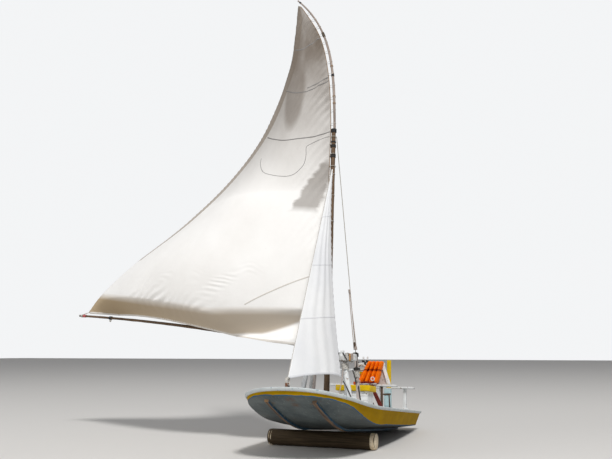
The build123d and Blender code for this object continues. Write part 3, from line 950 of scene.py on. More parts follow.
for name, start, end, size, material, up in (
    ("red_strut_low", on_deck(-1.845, 0.27, 0.004), (-1.83, 0.12, 0.31), (0.03, 0.02), DARK_WOOD, FORWARD),
    ("white_strut", on_deck(-1.895, 0.345, 0.003), (-1.865, 0.262, 0.398), (0.026, 0.026), WHITE, FORWARD),
    ("dark_post", on_deck(-1.93, 0.383, 0.002), (-1.93, 0.378, 0.4), (0.032, 0.034), DARK_WOOD, FORWARD),
    ("locker_bar", (-2.424, 0.27, 0.285), (-2.424, 0.415, 0.292), (0.014, 0.03), DARK_WOOD, UP),
    ("locker_upright", (-2.420, 0.40, 0.05), (-2.420, 0.385, 0.278), (0.02, 0.012), DARK_WOOD, FORWARD),
):
    timber(name, None, start, end, size, material, up=up, seed=len(name))


def rack_brace():
    """Flat board with slanting sides between the vest rack's rail and the bench."""
    bm = bmesh.new()
    outline = [(0.343, 0.70), (0.372, 0.70), (0.442, 0.435), (0.256, 0.435)]
    rows = [[Vector((x, y, z)) for y, z in outline] for x in (-2.024, -2.012)]
    cap_ends(bm, add_grid(bm, rows, 0, uvs_from(rows, 1, 2), closed=True))
    finish_mesh("rack_brace", bm, [SHADED_POLE_PAINT], smooth=False)


rack_brace()
foot_pads()


def cuboid(name, low, high, material, ease=0.006, node=None, body="boat", wobble=0.0015):
    """Eased, slightly uneven box between two corners."""
    bm = bmesh.new()
    low, high = Vector(low), Vector(high)
    size, centre = high - low, (low + high) / 2
    bmesh.ops.create_cube(bm, size=1.0)
    bmesh.ops.scale(bm, vec=size, verts=bm.verts)
    bmesh.ops.bevel(bm, geom=bm.edges[:], offset=ease, segments=3, profile=0.5, affect="EDGES")
    bmesh.ops.translate(bm, vec=centre, verts=bm.verts)
    cuts = [e for e in bm.edges if e.calc_length() > 0.08]
    bmesh.ops.subdivide_edges(bm, edges=cuts, cuts=6, use_grid_fill=True)
    for vert in bm.verts:
        spot = vert.co * 7
        vert.co += Vector((noise.noise(spot), noise.noise(spot + Vector((5, 0, 0))), 0)) * wobble
    layer = bm.loops.layers.uv.verify()
    long_way = max(range(3), key=lambda k: size[k])
    for face in bm.faces:
        flat_way = max(range(3), key=lambda k: abs(face.normal[k]))
        other = [k for k in range(3) if k not in (flat_way, long_way)][0]
        along = long_way if flat_way != long_way else [k for k in range(3) if k not in (flat_way, other)][0]
        for loop in face.loops:
            loop[layer].uv = (loop.vert.co[other], loop.vert.co[along])
    return finish_mesh(name, bm, [material], [node] if node else (), body)


def bench_plank(half_x=0.11, half_y=0.46, hole=0.054, count=48):
    """Mast bench: a heavy plank with a hole for the mast."""
    bm = bmesh.new()
    inner, outer = [], []
    for k in range(count):
        angle = 2 * math.pi * (k + 0.5) / count
        c, t = math.cos(angle), math.sin(angle)
        inner.append((hole * c, hole * t))
        power = (abs(c / half_x) ** 10 + abs(t / half_y) ** 10) ** (-1 / 10)
        outer.append((power * c, power * t))
    rows = []
    for ring, z, grow in (
        (inner, BENCH_UNDER, 1), (outer, BENCH_UNDER, 0.985), (outer, BENCH_UNDER + 0.006, 1),
        (outer, BENCH_TOP - 0.006, 1), (outer, BENCH_TOP, 0.985), (inner, BENCH_TOP, 1),
        (inner, BENCH_UNDER, 1),
    ):
        rows.append([Vector((MAST_X + x * grow, y * grow, z)) for x, y in ring])
    uvs = [[(p.x - MAST_X + p.z, p.y) for p in row] for row in rows]
    add_grid(bm, rows, 0, uvs, closed=True)
    finish_mesh("bench_board", bm, [WHITE], ["mast_bench_plank"], smooth=False)


# Mast bench, with the small pieces on its front and top
bench_plank()
for name, low, high, material, slot, ease in (
    ("bench_cheek_fore", (0.1105, -0.43, 0.675), (0.128, 0.43, 0.745), GREY_WHITE, "white_paint", 0.006),
    ("bench_block", (-0.03, 0.215, 0.7885), (0.03, 0.27, 0.848), WHITE, "white_paint", 0.014),
    ("bench_peg", (0.129, 0.398, 0.672), (0.15, 0.424, 0.782), TAN_WOOD, "pale_wood", 0.006),
    ("bench_slot", (0.128, 0.382, 0.745), (0.14, 0.402, 0.784), BLACK_TAPE, "rope", 0.004),
    ("bench_slip", (0.129, 0.43, 0.69), (0.146, 0.462, 0.784), PALE_WOOD, "pale_wood", 0.004),
    # A thin dark strip under the bench's front edge: a painted shadow
    ("bench_shade", (0.1, -0.42, 0.666), (0.129, 0.42, 0.675), DARK_WOOD, "white_paint", 0.002),
):
    cuboid(name, by_mast(*low), by_mast(*high), material, ease)


# Ropes made fast on the bench and the poles
def bench_ropes():
    """Two dark ropes over the bench's front edge, and white turns round its plank."""
    bm = bmesh.new()
    for radius, *route in (
        (0.0095, (0.05, 0.275, 0.794), (0.11, 0.288, 0.794), (0.1195, 0.298, 0.782), (0.1195, 0.318, 0.752),
         (0.1375, 0.332, 0.735), (0.1375, 0.368, 0.682), (0.131, 0.372, 0.668), (0.05, 0.33, 0.672)),
        (0.0075, (0.05, 0.225, 0.795), (0.112, 0.222, 0.795), (0.121, 0.222, 0.782),
         (0.121, 0.226, 0.75), (0.139, 0.228, 0.74), (0.139, 0.23, 0.676)),
    ):
        sweep(bm, [by_mast(*spot) for spot in route], circle(radius, 8))
    finish_mesh("bench_rope_dark", bm, [DARK_ROPE])
    bm = bmesh.new()
    ring = rounded_box(0.274, 0.124, 0.012)
    line = []
    for k in range(3 * len(ring) + 1):
        a, b = ring[k % len(ring)]
        line.append((MAST_X + a, 0.338 + 0.014 * k / len(ring), 0.731 + b))
    sweep(bm, line, circle(0.0055, 6))
    finish_mesh("bench_rope_white", bm, [WHITE_ROPE])


bench_ropes()
POLE_WAY = (0.03, -0.06, 0.81)
LEG_WAY = (0, -0.124, 0.66)
lashings = []
for side, _ in SIDES:
    way = (0.03, -0.06 * side, 0.81)
    lashings.append(((-0.4555, side * 0.3385, 0.815), way, 0.042, 0.006, 5, 0.0125))
    lashings.append(((-0.468, side * 0.357, 0.59), way, 0.05, 0.005, 4, 0.0105))
rope_piece("pole_lashings", DARK_ROPE, lashings)
rope_piece(
    "white_turns", WHITE_ROPE,
    [((LEG_X, 0.309, 0.59), LEG_WAY, 0.052, 0.006, 8, 0.0125),
     ((-0.467, 0.357, 0.50), POLE_WAY, 0.044, 0.006, 7, 0.0125)],
)
rope_piece(
    "lead_lines", DARK_ROPE,
    lines=[
        (0.0085, (0.03, 0.296, 0.369), (0.03, 0.34, 0.301), (0.03, 0.385, 0.218), (0.035, 0.442, 0.10),
         (0.03, 0.455, 0.04)),
        (0.0085, (-0.42, 0.375, 0.835), (-0.42, 0.37, 0.75), (-0.423, 0.373, 0.62), (-0.43, 0.378, 0.6)),
        (0.0085, (-0.42, 0.302, 0.57), (-0.42, 0.33, 0.49), (-0.425, 0.349, 0.426), (-0.43, 0.366, 0.36)),
        (0.0085, (-0.43, 0.40, 0.33), (-0.44, 0.414, 0.22), (-0.452, 0.428, 0.12), (-0.46, 0.436, 0.05)),
    ],
)
low, high = (-0.492, 0.302, 0.345), (-0.453, 0.3445, 0.396)
cuboid("orange_float", low, high, ORANGE_PLASTIC, 0.012)
rope_piece(
    "pale_line", PALE_ROPE, [((-0.4715, 0.369, 0.405), POLE_WAY, 0.041, 0.005, 3, 0.0105)],
    [(0.0075, (0.035, 0.30, 0.66), (0.035, 0.292, 0.54), (0.03, 0.276, 0.40), (0.03, 0.245, 0.22),
      (0.03, 0.225, 0.05))],
)

# Pegs on the vest rack, with ropes wound tight on them and on its rail, and a ring of rope
PEG_HALF = 0.014
peg_turns = []
for number, y in enumerate((0.01, 0.088)):
    low, high = (RACK_X - PEG_HALF, y - PEG_HALF, 0.8205), (RACK_X + PEG_HALF, y + PEG_HALF, 0.935)
    cuboid(f"rack_peg_{number}", low, high, WHITE, 0.008)
    peg_turns.append(((RACK_X, y, 0.845), UP, 0.024, 0.006, 3, 0.0125))
rail_turns = [((RACK_X, y, 0.79), (0, 1, 0.1), 0.043, 0.006, 3, 0.013) for y in (-0.09, 0.06, 0.12)]
rope_piece("dark_turns", DARK_ROPE, peg_turns + rail_turns)


def rope_ring():
    """Closed ring of rope on the rack's rail."""
    bm = bmesh.new()
    ring = []
    for k in range(64):
        angle = 2 * math.pi * k / 63
        ring.append((RACK_X + 0.05, -0.015 + 0.074 * math.cos(angle), 0.735 + 0.045 * math.sin(angle)))
    sweep(bm, ring, circle(0.02, 10))
    finish_mesh("rope_ring", bm, [WHITE_ROPE])


rope_ring()

# Locker below the steering bench
cuboid("locker_body", (-2.549, 0.284, 0.045), (-2.431, 0.402, 0.397), TEAL, 0.01, "locker")
cuboid("locker_rim", (-2.554, 0.279, 0.385), (-2.426, 0.407, 0.402), WHITE, 0.005)
cuboid("locker_base", (-2.565, 0.268, 0.038), (-2.415, 0.422, 0.056), DARK_TEAL, 0.004)


# Deck box
def box_screws():
    """Domed screw heads on the box's fore side."""
    bm = bmesh.new()
    axis = Vector(FORWARD)
    first = axis.orthogonal().normalized()
    second = axis.cross(first)
    spots = [((-1.119, y, 0.235), 0.008) for y in (-0.14, 0.02, 0.18, 0.33)]
    spots += [((-1.1195, -0.045, 0.206), 0.016)]
    spots += [((-1.119, y, 0.075), 0.008) for y in (-0.13, 0.04, 0.2, 0.33)]
    angles = [math.pi * k / 5 for k in range(10)]
    ring = [first * math.cos(angle) + second * math.sin(angle) for angle in angles]
    for spot, radius in spots:
        rows = []
        for lift, share in ((-0.001, 1.0), (0.001, 0.95), (0.0022, 0.6)):
            rows.append([Vector(spot) + axis * lift + way * radius * share for way in ring])
        made = add_grid(bm, rows, 0, [[(0, 0)] * 10] * 3, closed=True)
        cap(bm, made[-1])
    finish_mesh("box_screws", bm, [RUST])


LID_LOW, LID_HIGH = (-1.5045, -0.2045, 0.2798), (-1.0755, 0.3945, 0.3755)
cuboid("lid_top", LID_LOW, LID_HIGH, YELLOW, 0.012, "box_lid", "lid")
box_screws()
for number, z in enumerate((0.122, 0.198)):
    low, high = (-1.1198, -0.158, z), (-1.1165, 0.348, z + 0.004)
    cuboid(f"box_batten_{number}", low, high, GREY_WHITE, 0.0012)

# Lashing at the bow
BOW_EYE_X = 1.515
tack_place = Vector((BOW_EYE_X, 0, deck_z(BOW_EYE_X) + 0.05)) + Vector((0.002, 0, 0.045))
tack_turns = []
for tilt in (-0.5, -0.2, 0.1, 0.4):
    tack_turns.append((tack_place, (0.15, 1, tilt), 0.055, 0.005, 1.6, 0.007, 0.7, FORWARD))
rope_piece("tack_lashing", WHITE_ROPE, tack_turns)
eye_place = (BOW_EYE_X, 0, deck_z(BOW_EYE_X) + 0.02)
rope_piece("eye_rope", DARK_ROPE, [(eye_place, (1, 0, 0.1), 0.03, 0.0045, 3, 0.01)])

# Rig
MAST_FOOT_Z = 0.06
MAST_LENGTH = 4.56
MAST_RADIUS = 0.048
MAST_TAPER = 0.010
TOPMAST_RADIUS = 0.022
TOPMAST_BEND_Z = 4.6
TOPMAST_TIP_Z = 7.41
TOPMAST_SET = -0.016
TOPMAST_REACH = 0.85
TOPMAST_LEAN = 0.12
TOPMAST_BEND_POWER = 3.4


def pole(name, node, points, radii, material, seed, lumps=0.003):
    """Round pole through points, with a radius at each and a hand-worked surface."""
    bm = bmesh.new()
    biggest = max(radii)
    scales = [r / biggest for r in radii]
    sweep(bm, points, circle(biggest - lumps / 2, 20), 0, scales, lumps=lumps, seed=seed)
    finish_mesh(name, bm, [material], [node], "rig")


def topmast_point(share):
    """Centre of the topmast between its bend's start and the tip."""
    bend = TOPMAST_LEAN * share + (1 - TOPMAST_LEAN) * share**TOPMAST_BEND_POWER
    rise = TOPMAST_BEND_Z + (TOPMAST_TIP_Z - TOPMAST_BEND_Z) * share
    return Vector((TOPMAST_SET + TOPMAST_REACH * bend, 0, rise))


def topmast_radius(share):
    """Radius of the topmast between its bend's start and the tip."""
    return TOPMAST_RADIUS + 0.003 * min(1, 4 * share) - 0.011 * share**2


def topmast_share(z):
    """How far up the topmast's bend a height is."""
    return (z - TOPMAST_BEND_Z) / (TOPMAST_TIP_Z - TOPMAST_BEND_Z)


def mast_place(z):
    """Centre and radius of the mast or topmast at a height."""
    if z < TOPMAST_BEND_Z:
        return Vector((0, 0, z)), MAST_RADIUS - MAST_TAPER * (z - MAST_FOOT_Z) / MAST_LENGTH
    share = topmast_share(z)
    return topmast_point(share), topmast_radius(share)


def boom_line(count):
    """Points on the boom's arc through its inner, middle and outer places."""
    a, b, c = Vector((0.062, 0.856)), Vector((3.0, 1.33)), Vector((5.542, 1.603))
    d = 2 * (a.x * (b.y - c.y) + b.x * (c.y - a.y) + c.x * (a.y - b.y))
    aa, bb, cc = a.length_squared, b.length_squared, c.length_squared
    ux = (aa * (b.y - c.y) + bb * (c.y - a.y) + cc * (a.y - b.y)) / d
    uy = (aa * (c.x - b.x) + bb * (a.x - c.x) + cc * (b.x - a.x)) / d
    radius = (a - Vector((ux, uy))).length
    first = math.atan2(a.y - uy, a.x - ux)
    last = math.atan2(c.y - uy, c.x - ux)
    points = []
    for k in range(count):
        angle = first + (last - first) * k / (count - 1)
        points.append(Vector((ux + radius * math.cos(angle), 0, uy + radius * math.sin(angle))))
    return points


mast_points = [Vector((0, 0, MAST_FOOT_Z + MAST_LENGTH * k / 60)) for k in range(61)]
mast_radii = [MAST_RADIUS - MAST_TAPER * k / 60 for k in range(61)]
pole("mast_pole", "lower_mast", mast_points, mast_radii, MAST_WOOD, 2)
top_points = [Vector((TOPMAST_SET, 0, 4.085 + 0.5 * k / 8)) for k in range(8)]
top_points += [topmast_point(k / 60) for k in range(61)]
top_radii = [TOPMAST_RADIUS] * 8 + [topmast_radius(k / 60) for k in range(61)]
pole("topmast_pole", "topmast", top_points, top_radii, PALE_WOOD, 5, lumps=0.002)
boom_points = boom_line(80)
boom_radii = [0.031 - 0.010 * (k / 79) ** 1.6 for k in range(80)]
pole("boom_pole", "boom", boom_points, boom_radii, MAST_WOOD, 8)
for side, name in ((1, "fore"), (-1, "aft")):
    bm = bmesh.new()
    jaw = spread((-0.08, side * 0.06, 0.845), (0.34, side * 0.06, 0.845), 12)
    sweep(bm, jaw, rounded_box(0.022, 0.09, 0.008), 0, [0.9] + [1.0] * 10 + [0.85], UP, 0.002, side)
    finish_mesh(f"jaw_{name}", bm, [MAST_WOOD], [f"boom_jaw_{name}"], "rig")

# Sails: each row holds the luff's and the leech's X and Z in the rig's plane, and the belly's depth
SAIL_ROWS = (
    (0.076, 0.900, 5.320, 1.650, 0.560),
    (0.070, 1.500, 4.942, 2.053, 0.720),
    (0.068, 2.150, 4.200, 2.580, 0.740),
    (0.066, 3.000, 2.970, 3.264, 0.600),
    (0.065, 3.900, 2.008, 4.005, 0.400),
    (0.066, 4.850, 1.305, 4.871, 0.230),
    (0.145, 5.740, 0.925, 5.930, 0.090),
    (0.335, 6.500, 0.845, 6.606, 0.040),
    (0.700, 7.160, 0.826, 7.200, 0.012),
    (0.792, 7.275, 0.818, 7.300, 0.004),
)
TOP_ROW = len(SAIL_ROWS) - 1
TACK_X, TACK_Z = 0.076, 0.90
FOOT_RUN = 5.32 - TACK_X
FOOT_SLOPE = (1.65 - TACK_Z) / FOOT_RUN
HEM_WIDTH = 0.13
HEM_FROM, HEM_TO = 2.6, 7.6
DRAFT = 0.35
ROLL_DEPTH = 0.34
FOLD_DEPTH = 0.19
FOLD_TOP = 1.495
CLOTH_THICKNESS = 0.0012


def smooth_step(value):
    """0 to 1 with soft ends."""
    value = min(max(value, 0.0), 1.0)
    return value * value * (3 - 2 * value)


def foot_rise(x):
    """How far the foot's edge stands above its straight line."""
    u = min(max((x - TACK_X) / 5.244, 0), 1)
    if u < 0.38:
        return -0.055 * math.sin(math.pi * u / 0.38)
    return 0.08 * math.sin(math.pi * (u - 0.38) / 0.62)


def tack_fold(spot):
    """Depth, from 0 to 1, of the fold that runs in from the tack."""
    inner = smooth_step((spot.x - 0.05) / 0.35) * (1 - smooth_step((spot.x - 1.4) / 0.9))
    valley = 1.10 + 0.39 * max(0.0, 1.1 - spot.x) ** 1.35
    if spot.z > valley:
        return smooth_step((FOLD_TOP - spot.z) / max(FOLD_TOP - valley, 0.08)) * inner
    return (1 - smooth_step((valley - spot.z) / (0.14 + 0.28 * max(0.0, 1.1 - spot.x)))) * inner


def luff_creases(spot, reach, width, wobble):
    """Creases that slant up from the luff."""
    slant = math.sin(64 * (0.88 * spot.x + 0.47 * spot.z) + 1.6 * wobble)
    strength = 0.3 + 0.7 * smooth_step((spot.z - 4.4) / 0.8) * (1 - smooth_step((spot.z - 6.9) / 0.3))
    strength *= 0.6 + 1.2 * max(0.0, noise.noise(Vector((2.3, spot.z * 2.2, 0.7))) + 0.3)
    fade = min(1, reach / 0.04) * math.exp(-reach / 0.24) * min(1, width / 0.5)
    return 0.021 * slant * strength * fade


def roll_creases(spot, above, bow, wobble):
    """Diagonal creases along the crest of the foot's roll."""
    diagonal = math.sin(44 * (0.6 * spot.x + 0.8 * spot.z) + 2.5 * wobble)
    patch = max(0, noise.noise(Vector((spot.x * 1.3, 4.2, spot.z * 0.8))) + 0.42)
    outer = smooth_step((spot.x - 1.3) / 0.8)
    return 0.034 * diagonal * patch * outer * math.exp(-abs(above - 0.25) / 0.2) * min(1, 1.5 * bow)


def belly_ripples(spot):
    """Fine ripples in two places of the belly."""
    small = math.sin(74 * (spot.z - 0.12 * spot.x) + 9 * noise.noise(spot * 3.1))
    near = math.exp(-(((spot.x - 1.5) / 0.5) ** 2) - (((spot.z - 1.95) / 0.34) ** 2))
    near += 0.7 * math.exp(-(((spot.x - 2.6) / 0.7) ** 2) - (((spot.z - 1.98) / 0.2) ** 2))
    patch = max(0, noise.noise(Vector((spot.x * 2.9 + 7, 1.7, spot.z * 4.6))) + 0.06)
    return 0.01 * small * patch * near


def sail_point(v, t):
    """Point of the mainsail: v runs up its rows, t from luff to leech."""
    luff_x, luff_z, leech_x, leech_z, belly = smooth_rows(SAIL_ROWS, v)
    near, far = Vector((luff_x, 0, luff_z)), Vector((leech_x, 0, leech_z))
    width = (far - near).length
    bow = 4 * t * (1 - t)
    depth = belly * (bow * (1 + DRAFT * (0.5 - t)))
    spot = Vector((near.x + (far.x - near.x) * t, depth, near.z + (far.z - near.z) * t))
    line = TACK_Z + (spot.x - TACK_X) * FOOT_SLOPE
    rise = foot_rise(spot.x)
    spot.z += rise * math.exp(-(((spot.z - line) / 0.3) ** 2))
    above = spot.z - line - rise

    # The foot rolls back under the belly, and one deep fold runs in from the tack
    outer = smooth_step((spot.x - 1.3) / 0.8)
    spot.y -= ROLL_DEPTH * smooth_step(1 - above / 0.3) * outer * min(1, 2.2 * bow)
    spot.y -= FOLD_DEPTH * tack_fold(spot)

    # The upper leech and the edge below it stand a little forward
    upper = smooth_step((spot.z - 4.2) / 1.6)
    spot.y += 0.06 * upper * t**2 * min(1, width)
    curl = smooth_step((spot.z - 2.7) / 0.8) * (1 - smooth_step((spot.z - 4.9) / 0.7))
    edge = (1 - t) * width
    spot.y += 0.05 * curl * math.exp(-edge / 0.1)

    # Creases at the luff and the leech, along the roll and in the belly
    wobble = 2.2 * noise.noise(spot * 1.6)
    spot.y += luff_creases(spot, t * width, width, wobble)
    pucker = math.sin(70 * (0.5 * spot.x - 0.86 * spot.z) + wobble)
    spot.y += 0.006 * pucker * math.exp(-edge / 0.13) * (0.3 + curl)
    spot.y += roll_creases(spot, above, bow, wobble)
    spot.y += belly_ripples(spot)
    broad = noise.noise(Vector((spot.x * 0.9, 3.1, spot.z * 0.9)))
    spot.y += 0.05 * broad * min(1, width / 2) * bow
    return spot


def thicken(piece):
    """Give a sail's surface the thickness of its cloth."""
    thick = piece.modifiers.new("thickness", "SOLIDIFY")
    thick.thickness = CLOTH_THICKNESS
    thick.offset = 0
    return piece


def mainsail_piece(across=120, up=300, hem=8):
    """Mainsail's cloth, with a hem along its leech whose darker colour is painted shade."""
    bm = bmesh.new()
    rows = []
    for i in range(up + 1):
        v = TOP_ROW * (i / up) ** 1.15
        luff_x, luff_z, leech_x, leech_z, _ = smooth_rows(SAIL_ROWS, v)
        inner = 1 - HEM_WIDTH / max(math.hypot(leech_x - luff_x, leech_z - luff_z), 2 * HEM_WIDTH)
        row = [sail_point(v, inner * (j / across) ** 1.15) for j in range(across + 1)]
        row += [sail_point(v, inner + (1 - inner) * j / hem) for j in range(1, hem + 1)]
        rows.append(row)
    add_grid(bm, rows, 0, uvs_from(rows, 0, 2))
    for number, face in enumerate(bm.faces):
        column, high = number % (across + hem), face.calc_center_median().z
        face.material_index = 1 if column >= across and HEM_FROM < high < HEM_TO else 0
    cloths = [MAIN_CLOTH, SHADED_HEM_CLOTH]
    return thicken(finish_mesh("mainsail_cloth", bm, cloths, ["mainsail"], "rig"))


def sail_place(x, z):
    """Row and share of the mainsail at a place in the rig's plane."""
    v, t = 4.0, 0.5
    for _ in range(40):
        luff_x, _, leech_x, _, _ = smooth_rows(SAIL_ROWS, v)
        t = min(max((x - luff_x) / (leech_x - luff_x), 0.0), 1.0)
        here = sail_point(v, t).z
        slope = (sail_point(min(v + 0.01, 8.0), t).z - here) / 0.01
        v = min(max(v + 0.7 * (z - here) / max(slope, 0.2), 0.0), 7.99)
    return v, t


def add_tape(bm, places, width, surface, lift=0.0016, index=0):
    """Tape stitched on both faces of a surface, along a line of its places."""
    spots, outs = [], []
    for v, t in places:
        a = surface(v, min(t + 0.01, 1.0)) - surface(v, max(t - 0.01, 0.0))
        b = surface(v + 0.02, t) - surface(max(v - 0.02, 0.0), t)
        spots.append(surface(v, t))
        outs.append(a.cross(b).normalized())
    tangents, _ = transport(spots)
    for face in (1, -1):
        rows, uvs = [], []
        along = 0.0
        for k, spot in enumerate(spots):
            if k:
                along += (spot - spots[k - 1]).length
            side = outs[k].cross(tangents[k]).normalized() * (width / 2)
            out = outs[k] * lift * face
            edge, inner = out * 0.3, side * 0.94
            rows.append([spot - side + edge, spot - inner + out, spot + inner + out, spot + side + edge])
            uvs.append([(share, along) for share in (0.0, 0.03, 0.97, 1.0)])
        add_grid(bm, rows, index, uvs)


def seam_places(points, count=90):
    """Places on the mainsail along a smooth line through points of the rig's plane."""
    return [sail_place(*smooth_rows(points, (len(points) - 1) * k / (count - 1))) for k in range(count)]


HIGH_SEAMS = (
    ((0.33, 6.48), (0.40, 6.43), (0.50, 6.36), (0.66, 6.30), (0.82, 6.33)),
    ((0.12, 5.58), (0.26, 5.47), (0.43, 5.37), (0.59, 5.36), (0.75, 5.40), (0.94, 5.51)),
    ((0.07, 4.58), (0.29, 4.46), (0.58, 4.42), (0.82, 4.43), (1.08, 4.53), (1.27, 4.64)),
    ((0.12, 5.65), (0.25, 5.55), (0.38, 5.46), (0.47, 5.43)),
)
LOW_SEAM = ((0.07, 2.11), (0.45, 1.94), (0.85, 1.74), (1.25, 1.54))
LOOP_LINE = (
    (1.26, 4.17), (1.23, 4.03), (1.12, 3.85), (0.93, 3.76), (0.71, 3.72), (0.57, 3.75), (0.47, 3.85),
    (0.41, 3.96), (0.39, 4.12), (0.39, 4.26), (0.31, 4.33), (0.19, 4.42), (0.07, 4.49),
)


def sail_tapes():
    """Seams, the darker looped line and the foot's hem on the mainsail; the high seams and the looped line
    are near-black painted shade.
    """
    bm = bmesh.new()
    for seam in HIGH_SEAMS:
        add_tape(bm, seam_places(seam), 0.018, sail_point, 0.003, 1)
    add_tape(bm, seam_places(LOW_SEAM), 0.02, sail_point, 0.003)
    add_tape(bm, seam_places(LOOP_LINE), 0.009, sail_point, 0.002, 1)
    add_tape(bm, [(0.03, 0.004 + 0.99 * k / 140) for k in range(141)], 0.04, sail_point)
    return finish_mesh("mainsail_seams", bm, [SEAM_CLOTH, SEAM_PAINTED_SHADE], body="rig")


mainsail = mainsail_piece()
seams = sail_tapes()

# Rope along the luff, and the lacing that ties it to the mast
luff_line = []
for k in range(60):
    luff_x, luff_z, _, _, _ = smooth_rows(SAIL_ROWS, TOP_ROW * k / 59)
    luff_line.append((luff_x - 0.002, 0.0, luff_z))
luff_cord("luff_rope", luff_line, 0.0065, BROWN_ROPE, "rig")
TIE_HEIGHTS = (
    1.15, 1.6, 2.05, 2.5, 2.95, 3.4, 3.78, 4.15, 4.36, 4.72, 4.98,
    5.22, 5.46, 5.7, 5.94, 6.16, 6.36, 6.54, 6.72, 6.9, 7.06,
)


def lacing():
    """Ties round the mast and the luff's rope."""
    bm = bmesh.new()
    for z in TIE_HEIGHTS:
        centre, radius = mast_place(z)
        grip = radius + 0.004
        luff_x, luff_z, _, _, _ = smooth_rows(SAIL_ROWS, sail_place(0.0, z - 0.02)[0])
        across = Vector((luff_x + 0.012, 0, luff_z)) - centre
        half = (across.length + radius + 0.004) / 2
        direction = across.normalized()
        middle = centre - direction * grip + direction * half
        beside = Vector((0, 1, 0))
        tall = direction.cross(beside).normalized()
        line = []
        for k in range(25):
            angle = 2 * math.pi * k / 24
            c, t = math.cos(angle), math.sin(angle)
            wide = grip if c < 0 else grip * (1 - 0.55 * c)
            line.append(middle + direction * c * half + beside * t * wide + tall * 0.006 * t)
        sweep(bm, line, circle(0.0032, 6))
    finish_mesh("luff_lacing", bm, [WHITE_ROPE], body="rig")


lacing()


def rig_turns(name, material, *spots):
    """Tight turns of line or tape round the poles of the rig, laid side by side."""
    rope_piece(name, material, [(*spot, spot[3] * 1.9) for spot in spots], body="rig")


def topmast_turns(z, grow, rope, turns):
    """Turns round the topmast at a height."""
    share = topmast_share(z)
    ahead = topmast_point(share + 0.01) - topmast_point(share - 0.01)
    return (topmast_point(share), ahead.normalized(), mast_place(z)[1] + grow, rope, turns)


scarf = []
for z, turns in ((4.12, 7), (4.3, 6), (4.375, 3)):
    scarf.append((Vector((0, 0, z)), UP, mast_place(z)[1] + 0.004, 0.0045, turns))
rig_turns("scarf_lashings", DARK_ROPE, *scarf)
rig_turns("scarf_top", BLACK_TAPE, (Vector((-0.002, 0, 4.585)), UP, 0.043, 0.005, 7))
rig_turns("topmast_bands", BROWN_ROPE, *(topmast_turns(z, 0.001, 0.004, 3) for z in (5.108, 5.243, 5.847)))
tapes = [topmast_turns(5.66, 0.0005, 0.004, 6), topmast_turns(7.35, 0.0005, 0.0035, 5)]
rig_turns("topmast_tape", BLACK_TAPE, *tapes)
rig_turns("topmast_flag_line", GREEN_ROPE, topmast_turns(6.53, 0.001, 0.006, 9))
tip_way = (boom_points[-1] - boom_points[-4]).normalized()
rig_turns("boom_tip_tape", PINK_TAPE, (boom_points[-3], tip_way, 0.0235, 0.004, 9))

# Band and loops on the boom's outer part
BAND_X = 4.73
band = min(range(1, len(boom_points) - 1), key=lambda i: abs(boom_points[i].x - BAND_X))
fitting, fitting_way = boom_points[band], (boom_points[band + 1] - boom_points[band - 1]).normalized()
rig_turns("boom_bands", BLACK_TAPE, (fitting, fitting_way, 0.029, 0.005, 6))
loops = [(fitting - UP * 0.05, Vector(way), 0.022, 0.004, 2) for way in ((0.3, 1, 0), (1, 0.2, 0))]
rig_turns("boom_loops", WHITE_ROPE, *loops)


def outhaul():
    """Three lines from the clew to the boom's tip, and the turns that hold them."""
    bm = bmesh.new()
    clew = sail_point(0.0, 1.0)
    for k in (-1, 0, 1):
        aim = boom_points[-2] + Vector((0, 0.012 * k, 0.02))
        sweep(bm, spread(clew + Vector((-0.03, 0, 0.01)), aim, 8), circle(0.004, 6))
    add_turns(bm, boom_points[-2], tip_way, 0.026, 0.004, 5, 0.009)
    finish_mesh("outhaul", bm, [WHITE_ROPE], body="rig")


outhaul()
rig_turns(
    "jaw_lashing", DARK_ROPE,
    (Vector((0.2, 0, 0.85)), FORWARD, 0.078, 0.005, 6), (Vector((0.3, 0, 0.862)), FORWARD, 0.074, 0.005, 5),
)
rig_turns("tack_turns", WHITE_ROPE, (Vector((0, 0, 0.935)), UP, 0.052, 0.005, 6))

# Jib
JIB_TACK = Vector((1.521, 0, 0.3))
JIB_HEAD = Vector((0.01, 0.02, 3.9))
JIB_CLEW = Vector((0.166, 0.31, 0.424))
JIB_HOLLOW = 0.15
JIB_BELLY = 0.09
JIB_TOP = 0.985


def jib_point(v, t):
    """Point of the jib: v from foot to head, t from luff to leech."""
    near = JIB_TACK.lerp(JIB_HEAD, v)
    far = JIB_CLEW.lerp(JIB_HEAD, v)
    far = far + (near - far).normalized() * JIB_HOLLOW * 4 * v * (1 - v)
    spot = near.lerp(far, t)
    bow = 4 * t * (1 - t)
    spot.y += (JIB_BELLY * (1 - v) + 0.004) * bow
    spot.z += 0.05 * bow * (1 - v) ** 6
    width = (far - near).length
    folds = math.sin(26 * t + 5 * v + 2 * noise.noise(spot * 1.2))
    spot.y += 0.006 * folds * bow * min(1, width / 0.5)
    edge = (1 - t) * width
    spot.y += 0.004 * math.sin(60 * spot.z + 9 * t) * math.exp(-edge / 0.06)
    return spot


def jib_piece(across=56, up=190):
    """Jib's cloth, with its hollow leech and foot."""
    bm = bmesh.new()
    rows = [[jib_point(i / up * JIB_TOP, j / across) for j in range(across + 1)] for i in range(up + 1)]
    add_grid(bm, rows, 0, uvs_from(rows, 0, 2))
    return thicken(finish_mesh("jib_cloth_piece", bm, [JIB_CLOTH], ["jib"]))


